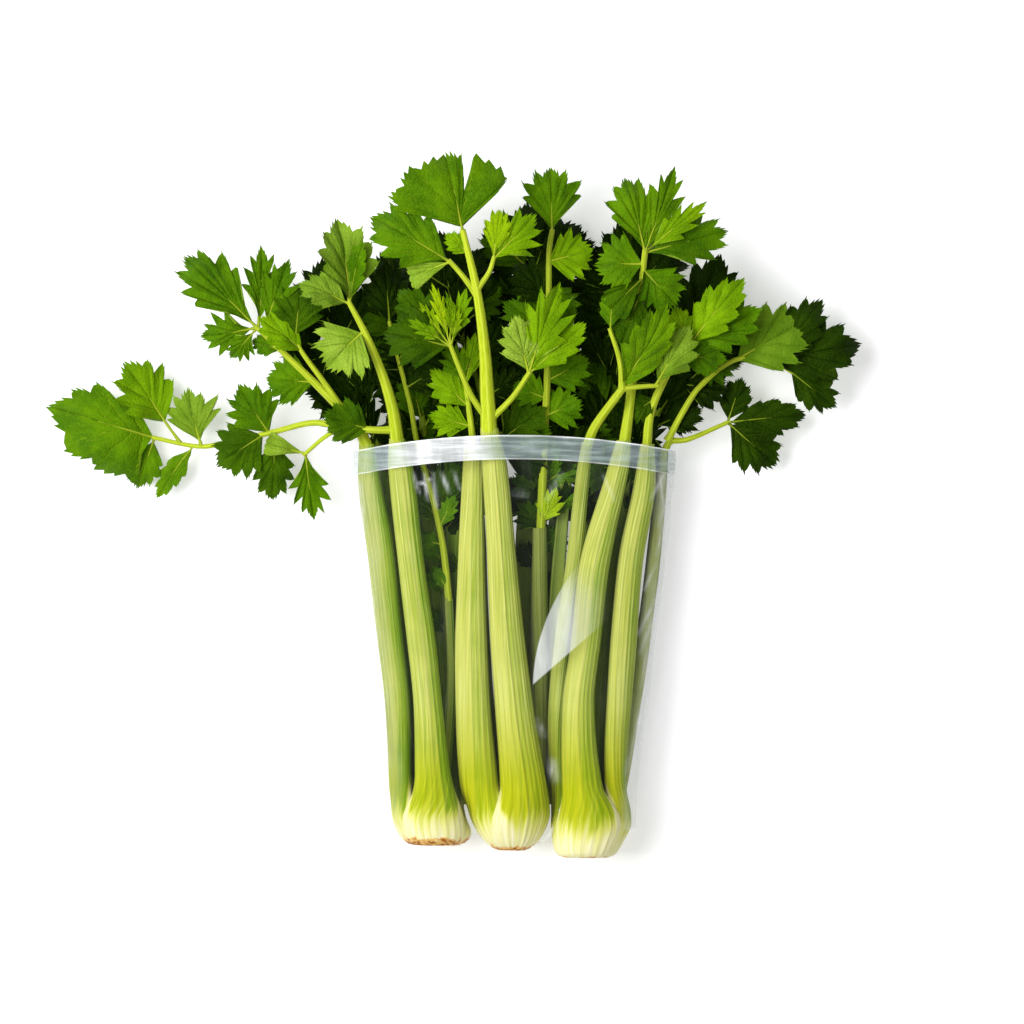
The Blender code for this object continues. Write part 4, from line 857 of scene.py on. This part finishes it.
# Small leaves caught between the stalks, inside the sleeve, most of them dark with painted shade.
CAUGHT = {
    "left_caught_leaves": (
        ((((-36, 100, 16), (-39, 160, 20), (-43, 222, 24)), 2.2, 1.4),),
        ((-38, 150, -45, 165, 12, 10, "lobed", "mid", 0, 0.1),
         (-39, 168, -50, 184, 14, 12, "lobed", "mid", 0, 0.1),
         (-39, 160, -34, 172, 10, 6, "lobed", "dim", 0, 0.1),
         (-40, 184, -29, 198, 15, 4, "lobed", "deep", 0, 0.1),
         (-41, 192, -55, 208, 16, 4, "cut", "dim", 0, 0.1),
         (-42, 208, -31, 224, 17, 4, "lobed", "dim", 0, 0.1),
         (-43, 216, -57, 230, 17, 4, "lobed", "deep", 0, 0.1),
         (-37, 128, -46, 140, 11, 3, "lobed", "dim", 0, 0.1))),
    "middle_caught_leaves": (
        ((((12, 90, 16), (15, 160, 20), (20, 222, 24)), 2.4, 1.4),),
        ((14, 150, 25, 160, 12, 4, "lobed", "deep", 0, 0.1),
         (15, 166, 5, 178, 14, 4, "lobed", "deep", 0, 0.1), (16, 176, 30, 186, 17, 4, "lobed", "dim", 0, 0.1),
         (17, 188, 4, 202, 18, 4, "cut", "dim", 0, 0.1), (18, 198, 34, 210, 20, 5, "lobed", "mid", 0, 0.1),
         (19, 206, 4, 222, 20, 4, "lobed", "dim", 0, 0.1), (19, 214, 36, 226, 20, 6, "cut", "mid", 0, 0.1),
         (20, 218, 22, 238, 20, 6, "lobed", "dim", 0, 0.1))),
    "right_caught_leaves": (
        ((((54, 90, 16), (60, 160, 19), (68, 222, 22)), 2.4, 1.4),),
        ((58, 140, 52, 154, 13, 3, "lobed", "deep", 0, 0.1),
         (60, 160, 68, 174, 14, 3, "lobed", "deep", 0, 0.1),
         (62, 176, 54, 192, 16, 4, "lobed", "deep", 0, 0.1), (64, 194, 76, 206, 16, 4, "cut", "dim", 0, 0.1),
         (66, 206, 54, 222, 18, 5, "lobed", "dim", 0, 0.1), (67, 212, 80, 226, 18, 4, "lobed", "dim", 0, 0.1),
         (82, 205, 87, 222, 12, 4, "lobed", "dim", 0, 0.1))),
}
SPRAYS.update(CAUGHT)
# Leaflets that reach no farther along than this stay between the sleeve's two sides.
BESIDE_MOUTH = 250
WITHIN_SIDES = (-72, 72)
# Deep leaflets keep this far along or more, so that they don't hang down into the sleeve.
LOWEST_HIDDEN = 222
LOWEST_CAUGHT = 196
# How many more leaflets, dark with painted shade, crowd a stem low in the pack than can be told apart, and
# how many point backward.
CROWD_HIDDEN = 22
CROWD_CAUGHT = 14
CROWD_BACKWARD = 6

for name, (stems, leaflets) in SPRAYS.items():
    chance = random.Random(name)
    caught = name in CAUGHT
    hidden = name[-1] in "456" and name != "right_leaves_4"
    skin = empty_skin()
    for j, (points, first, last) in enumerate(stems):
        # Painted shade darkens stems deep in the bunch and inside the sleeve; thin stems are a deeper green.
        if hidden or caught:
            shade_and_green = 0.80
        elif points[0][1] < 200:
            shade_and_green = 0.35
        else:
            shade_and_green = 0.16 if first < 4.5 else 0.0
        add_stem(skin, points, first, last, shade_and_green, flare=0.35 if j else 0.0)
    for leaflet in leaflets:
        leaflet += DEEP_LEAFLET[len(leaflet) - 6:]
        bx, by, tx, ty, width, rise, form, look, roll, fold = leaflet
        root = nearest(stems, (bx, by), 1.5)
        tip = Vector((tx, ty, max(3.0, root.z + rise)))
        add_blade(skin, root, (bx, by), tip, width, form, look, roll + chance.uniform(-7, 7), fold, chance)
    for k in range(CROWD_HIDDEN if hidden else CROWD_CAUGHT if caught else 0):
        points = stems[0][0]
        backward = hidden and k < CROWD_BACKWARD
        j = len(points) - 2 if caught else 0 if backward else k % (len(points) - 1)
        a, b = Vector(points[j]), Vector(points[j + 1])
        root = a.lerp(b, chance.uniform(0.45 if caught else 0, 0.6 if backward else 1))
        heading = math.atan2(b.y - a.y, b.x - a.x) + (
            chance.uniform(1.4, 2.4) * chance.choice((-1, 1)) if backward else chance.uniform(-1.5, 1.5))
        reach = chance.uniform(24, 38)
        rise = chance.uniform(-10, 5) if caught else chance.uniform(0, 6 if backward else 13)
        tip = root + Vector((reach * math.cos(heading), reach * math.sin(heading), rise))
        if tip.y < BESIDE_MOUTH:
            tip.x = min(max(tip.x, WITHIN_SIDES[0]), WITHIN_SIDES[1])
        tip.y = max(tip.y, LOWEST_HIDDEN if hidden else LOWEST_CAUGHT)
        spot = root.lerp(tip, 0.16).xy
        add_blade(skin, root, spot, tip, chance.uniform(20, 30), chance.choice(("lobed", "cut", "palm")),
                  chance.choice(4 * ("deep",) + ("dim",)), chance.uniform(-25, 25), chance.uniform(0, 0.3),
                  chance, 4)
    made = grown(name + "_toothed", skin, leaf_finish, stem_finish)
    if not caught:
        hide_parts(name)


# SLEEVE. One clear film bag, open at both ends and wider at its mouth, drawn over the three heads. The film
# is thin and loose, so it creases lengthwise, and a folded and welded band of milky film makes its hem.

# Rows of (along, left side, right side), then the other sizes, in millimetres.
SLEEVE = ((16, -71.0, 71.5), (34, -71.5, 72.0), (62, -73.0, 74.5), (98, -76.5, 79.5), (138, -81.5, 84.5),
          (180, -86.5, 89.5), (213, -90.0, 93.0), (218, -90.4, 93.4), (232, -91.2, 94.2))
SLEEVE_HEIGHT = 57.0
SLEEVE_MOUTH = 232
MOUTH_RISE = 9.0
HEM = 14.0

# Marks of the film finish: milky weld of the hem, haze, weight of the creases with their painted glint, weld
# lines with a painted highlight. The hem's painted glare adds to the milk, the haze and the weld lines. The
# run is a place across and along the sleeve in millimetres.
film = Finish("Clear film", 0.14, 0.5)
milk_and_glare, haze_and_glare, crease_and_glint, weld_and_glint = film.marks
film.feed("Base Color", film.mix(weld_and_glint, (0.50, 0.62, 0.62), (0.93, 0.96, 0.98)))
across, along, _ = film.node("ShaderNodeSeparateXYZ", {0: film.run}).outputs
facing = film.node("ShaderNodeLayerWeight", {"Blend": 0.25}).outputs["Facing"]
cloud = film.noise(film.run, (9, 40, 1), 4.0)
ruck = film.noise(film.run, (2.2, 9, 1))
band = film.noise(film.run, (26, 2.2, 1), 4.0)
# How much the film is seen: faint clouds, a sheer edge where it turns away, creases with their painted glint,
# and haze at its sides.
sheer = film.math("MULTIPLY", film.mask(facing, 0.50, 1.0, 0.0, 0.42),
                  film.mask(across, -50.0, 0.0, 0.40, 1.0))
seen = film.math("ADD", film.mask(cloud, 0.50, 0.85, 0.006, 0.024), sheer)
seen = film.math("ADD", seen, film.math("MULTIPLY", crease_and_glint, film.mask(ruck, 0.30, 0.65, 0.35, 1.0)))
seen = film.math("ADD", seen, film.math("MULTIPLY", haze_and_glare, film.mask(cloud, 0.30, 0.65, 0.25, 0.70)))
# A painted reflection: a pale pane where the upper film lies in a flat fold over the stalks, cut off along a
# slanting edge.
low_edge = film.math("SUBTRACT", along, film.math("MULTIPLY_ADD", across, 0.87, 88.2))
past_corner = film.math("POWER", film.math("MAXIMUM", film.math("SUBTRACT", along, 98.0), 0.0), 2.0)
left_edge = film.math("SUBTRACT", across, film.math("MULTIPLY_ADD", past_corner, 0.0052, 11.5))
upper = film.mask(film.node("ShaderNodeSeparateXYZ", {0: film.here}).outputs[2], 0.030, 0.032)
painted_reflection = film.mask(cloud, 0.3, 0.7, 0.32, 0.50)
for share in (film.mask(low_edge, 0.0, 1.4), film.mask(left_edge, 0.0, 1.0), film.mask(across, 56.0, 22.0),
              film.mask(along, 172.0, 140.0), upper):
    painted_reflection = film.math("MULTIPLY", painted_reflection, share)
seen = film.math("ADD", seen, painted_reflection)
# The film holds back a little of the light that passes through to the table.
held = film.math("MULTIPLY", film.node("ShaderNodeLightPath").outputs["Is Shadow Ray"],
                 film.math("MULTIPLY_ADD", haze_and_glare, 0.8, 0.07))
seen = film.math("ADD", seen, held)
hem = film.math("MULTIPLY", milk_and_glare, film.mask(band, 0.36, 0.70, 0.28, 0.58))
film.feed("Alpha", film.math("MINIMUM", film.math("ADD", seen, hem), 0.96))
film.feed("Roughness", film.mask(milk_and_glare, 0.0, 1.0, 0.14, 0.34))
film.bump(film.math("ADD", cloud, film.math("MULTIPLY", crease_and_glint, 0.5)), 0.0006, 0.6)
film_finish = film.made

# Creases, each a stroke: from, to, half width and weight. Each whitens the film with a painted glint.
CREASES = (
    (82.3, 168, 75.5, 153, 0.9, 0.30), (83.4, 150, 72, 128, 1.1, 0.32), (81.2, 138, 73.2, 118, 1.2, 0.28),
    (77, 118, 73.5, 98, 1.0, 0.25), (74.4, 92, 69.8, 66, 1.1, 0.30), (70, 70, 65, 48, 1.4, 0.22),
    (88, 222, 79, 204, 0.9, 0.34), (84, 218, 87, 196, 0.9, 0.30), (91, 214, 84, 190, 1.0, 0.30),
    (86, 190, 82, 172, 0.9, 0.30), (23, 55, 24.5, 46, 2.4, 0.34), (15, 79, 17.5, 70, 1.6, 0.18),
    (-56, 219, -53, 208, 0.9, 0.36), (-50, 219, -48, 204, 0.8, 0.42), (-45, 219, -43, 200, 0.9, 0.40),
    (-40, 219, -36, 209, 1.1, 0.44), (-33, 220, -30, 210, 0.8, 0.34), (-55, 212, -46, 216, 0.8, 0.34),
    (2, 219, 6, 206, 1.0, 0.20), (28, 219, 20, 204, 1.2, 0.20), (-87, 214, -84, 186, 1.3, 0.30),
    (-80, 150, -76, 112, 1.2, 0.20), (-76, 110, -71, 52, 1.4, 0.24), (52, 218, 58, 204, 1.0, 0.22),
)
# The hem's painted glare is strongest from the second to the third of these places across, and fades out to
# the others.
PAINTED_GLARE = (-74, -56, -22, -6)
WELD_LINE = 1.0
FILM_POINTS = 360
# How square the film lies: over the heads and at its sides, and underneath, where it is flat on the table.
OVER_HEADS = 0.62
UNDERNEATH = 0.40


def crease_at(x, y):
    """The weight of the strongest crease at a place across and along, fading to the ends of its stroke."""
    found = 0.0
    for x0, y0, x1, y1, wide, weight in CREASES:
        way = Vector((x1 - x0, y1 - y0))
        t = min(1.0, max(0.0, (Vector((x, y)) - Vector((x0, y0))).dot(way) / way.length_squared))
        gone = (Vector((x0, y0)) + way * t - Vector((x, y))).length
        found = max(found, weight * math.exp(-(gone / wide)**2) * (1 - 0.6 * abs(2 * t - 1)))
    return found


skin = empty_skin()
rings, runs, marks = [], [], []
for along in [16 + 1.6 * k for k in range(125)] + [216 + 0.5 * k for k in range(33)]:
    left, right = between(SLEEVE, along)
    middle, half = 0.5 * (left + right), 0.5 * (right - left)
    rise = MOUTH_RISE * min(1.0, along / 213) ** 2
    to_mouth = SLEEVE_MOUTH - along
    in_hem = 1.0 if to_mouth < HEM else 0.0
    edge_line = 1.0 if to_mouth < 0.7 or HEM - WELD_LINE < to_mouth < HEM else 0.0
    ring, run, mark = [], [], []
    for i in range(FILM_POINTS):
        turn = math.tau * (i + 0.5) / FILM_POINTS
        c, s = math.cos(turn), math.sin(turn)
        on_top = s > 0
        x = math.copysign(abs(c) ** OVER_HEADS, c)
        z = abs(s) ** OVER_HEADS if on_top else -abs(s) ** UNDERNEATH
        up = max(0.0, 0.5 * SLEEVE_HEIGHT * (1 + z))
        # It dips between the heads in long folds, and puckers towards the hem.
        long_fold = noise.noise(Vector((x * 9, along * 0.018, s)))
        pucker = noise.noise(Vector((x * 24, along * 0.09, s * 3)))
        dip = 1.2 * (long_fold - 0.3) + 1.1 * (pucker - 0.4) * step(52, 18, to_mouth) * (1 - 0.6 * in_hem)
        dip = min(0.0, dip) if up > 6 else 0.0
        spot = (middle + (half + dip) * x, along + rise * (1 - x * x), up + dip * on_top)
        ring.append(placed(*spot))
        run.append(spot[:2])
        # The hem is whitened by its painted glare, and its weld lines by a painted highlight.
        painted_glare = in_hem * step(*PAINTED_GLARE[:2], spot[0]) * step(PAINTED_GLARE[3], PAINTED_GLARE[2], spot[0]) * on_top
        side_haze = (0.30 if x > 0 else 0.14) * step(0.84, 0.97, abs(x)) * (1 - in_hem)
        crease = crease_at(*spot[:2]) * (1 - in_hem) * on_top
        mark.append((in_hem * (0.75 + 0.25 * painted_glare) + 0.6 * edge_line, side_haze + 0.35 * painted_glare, crease,
                     max(edge_line, painted_glare, 1 - in_hem)))
    rings.append(ring)
    runs.append(run)
    marks.append(mark)
add_rings(skin, rings, runs, marks, capped=False)

# The foot of the film is tucked down between the middle and the right head, as a narrow strip.
TUCK = ((30.5, 33, 40), (27.6, 27.5, 37), (25.4, 20.5, 35), (21.5, 13.2, 33), (16, 8.6, 30), (8.5, 6.0, 26))
TUCK_STEPS = 30
TUCK_WIDTH = 1.9
rings, runs, marks = [], [], []
rows = [(j,) + p for j, p in enumerate(TUCK)]
for k in range(TUCK_STEPS + 1):
    at = 5 * k / TUCK_STEPS
    spot = Vector(between(rows, at))
    if k < TUCK_STEPS:
        way = (Vector(between(rows, min(5.0, at + 0.2))) - spot).normalized()
    side = way.cross(Vector((0, 0, 1))).normalized()
    wide = TUCK_WIDTH * math.sin(math.pi * (0.12 + 0.8 * k / TUCK_STEPS)) + 0.3
    row = [spot + side * (wide * (j / 4 - 0.5)) + Vector((0, 0, 0.8 * math.sin(math.pi * j / 4)))
           for j in range(5)]
    rings.append([placed(*q) for q in row])
    runs.append([(q.x, q.y) for q in row])
    marks.append([(0.8 if j in (0, 4) else 0.30, 0.2, 0.1, 1.0) for j in range(5)])
add_rings(skin, rings, runs, marks, closed=False)
sleeve = grown("sleeve_film", skin, film_finish)
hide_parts("sleeve")


# FLOOR, LIGHT AND CAMERA. A white table, an even pale room, one large soft light from the left, and a camera
# that looks straight down.
FLOOR_HALF = 3
floor_mesh = bpy.data.meshes.new("floor")
floor_mesh.from_pydata([(x * FLOOR_HALF, y * FLOOR_HALF, 0) for x, y in ((-1, -1), (1, -1), (1, 1), (-1, 1))],
                       [], [(0, 1, 2, 3)])
floor = bpy.data.objects.new("floor", floor_mesh)
floor.location.z = -0.0004
bpy.context.scene.collection.objects.link(floor)
table = bpy.data.materials.new("White table")
table.use_nodes = True
for socket, value in {"Base Color": (0.73, 0.73, 0.74, 1), "Roughness": 0.7, "Emission Color": (1, 1, 1, 1),
                      "Emission Strength": 0.40}.items():
    table.node_tree.nodes["Principled BSDF"].inputs[socket].default_value = value
floor_mesh.materials.append(table)

scene = bpy.context.scene
scene.view_settings.view_transform = "Standard"
room = bpy.data.worlds.new("Pale room")
room.use_nodes = True
room.node_tree.nodes["Background"].inputs["Color"].default_value = (0.97, 0.98, 1.0, 1)
room.node_tree.nodes["Background"].inputs["Strength"].default_value = 0.22
scene.world = room


def soft_light(name, place, aim, width, power):
    """A square area light aimed at a place."""
    lamp = bpy.data.lights.new(name, "AREA")
    lamp.size = width
    lamp.energy = power
    made = bpy.data.objects.new(name, lamp)
    made.location = place
    made.rotation_euler = (Vector(aim) - Vector(place)).to_track_quat("-Z", "Y").to_euler()
    scene.collection.objects.link(made)


soft_light("Key light", (-1.10, 0.30, 1.70), (0, 0, 0), 1.5, 63)
soft_light("Fill light", (0.5, -0.7, 2.2), (0, 0, 0), 1.6, 14)

VIEW_WIDTH = 0.5837
VIEW_AWAY = 5.0
VIEW_MIDDLE = 197.2
OBJECT_LEVEL = 0.040
lens = bpy.data.cameras.new("Camera")
lens.sensor_width = 36
lens.lens = lens.sensor_width * VIEW_AWAY / VIEW_WIDTH
lens.clip_end = 20
camera = bpy.data.objects.new("Camera", lens)
aim = placed(0, VIEW_MIDDLE, 0)
camera.location = (aim.x, aim.y, OBJECT_LEVEL + VIEW_AWAY)
scene.collection.objects.link(camera)
scene.camera = camera
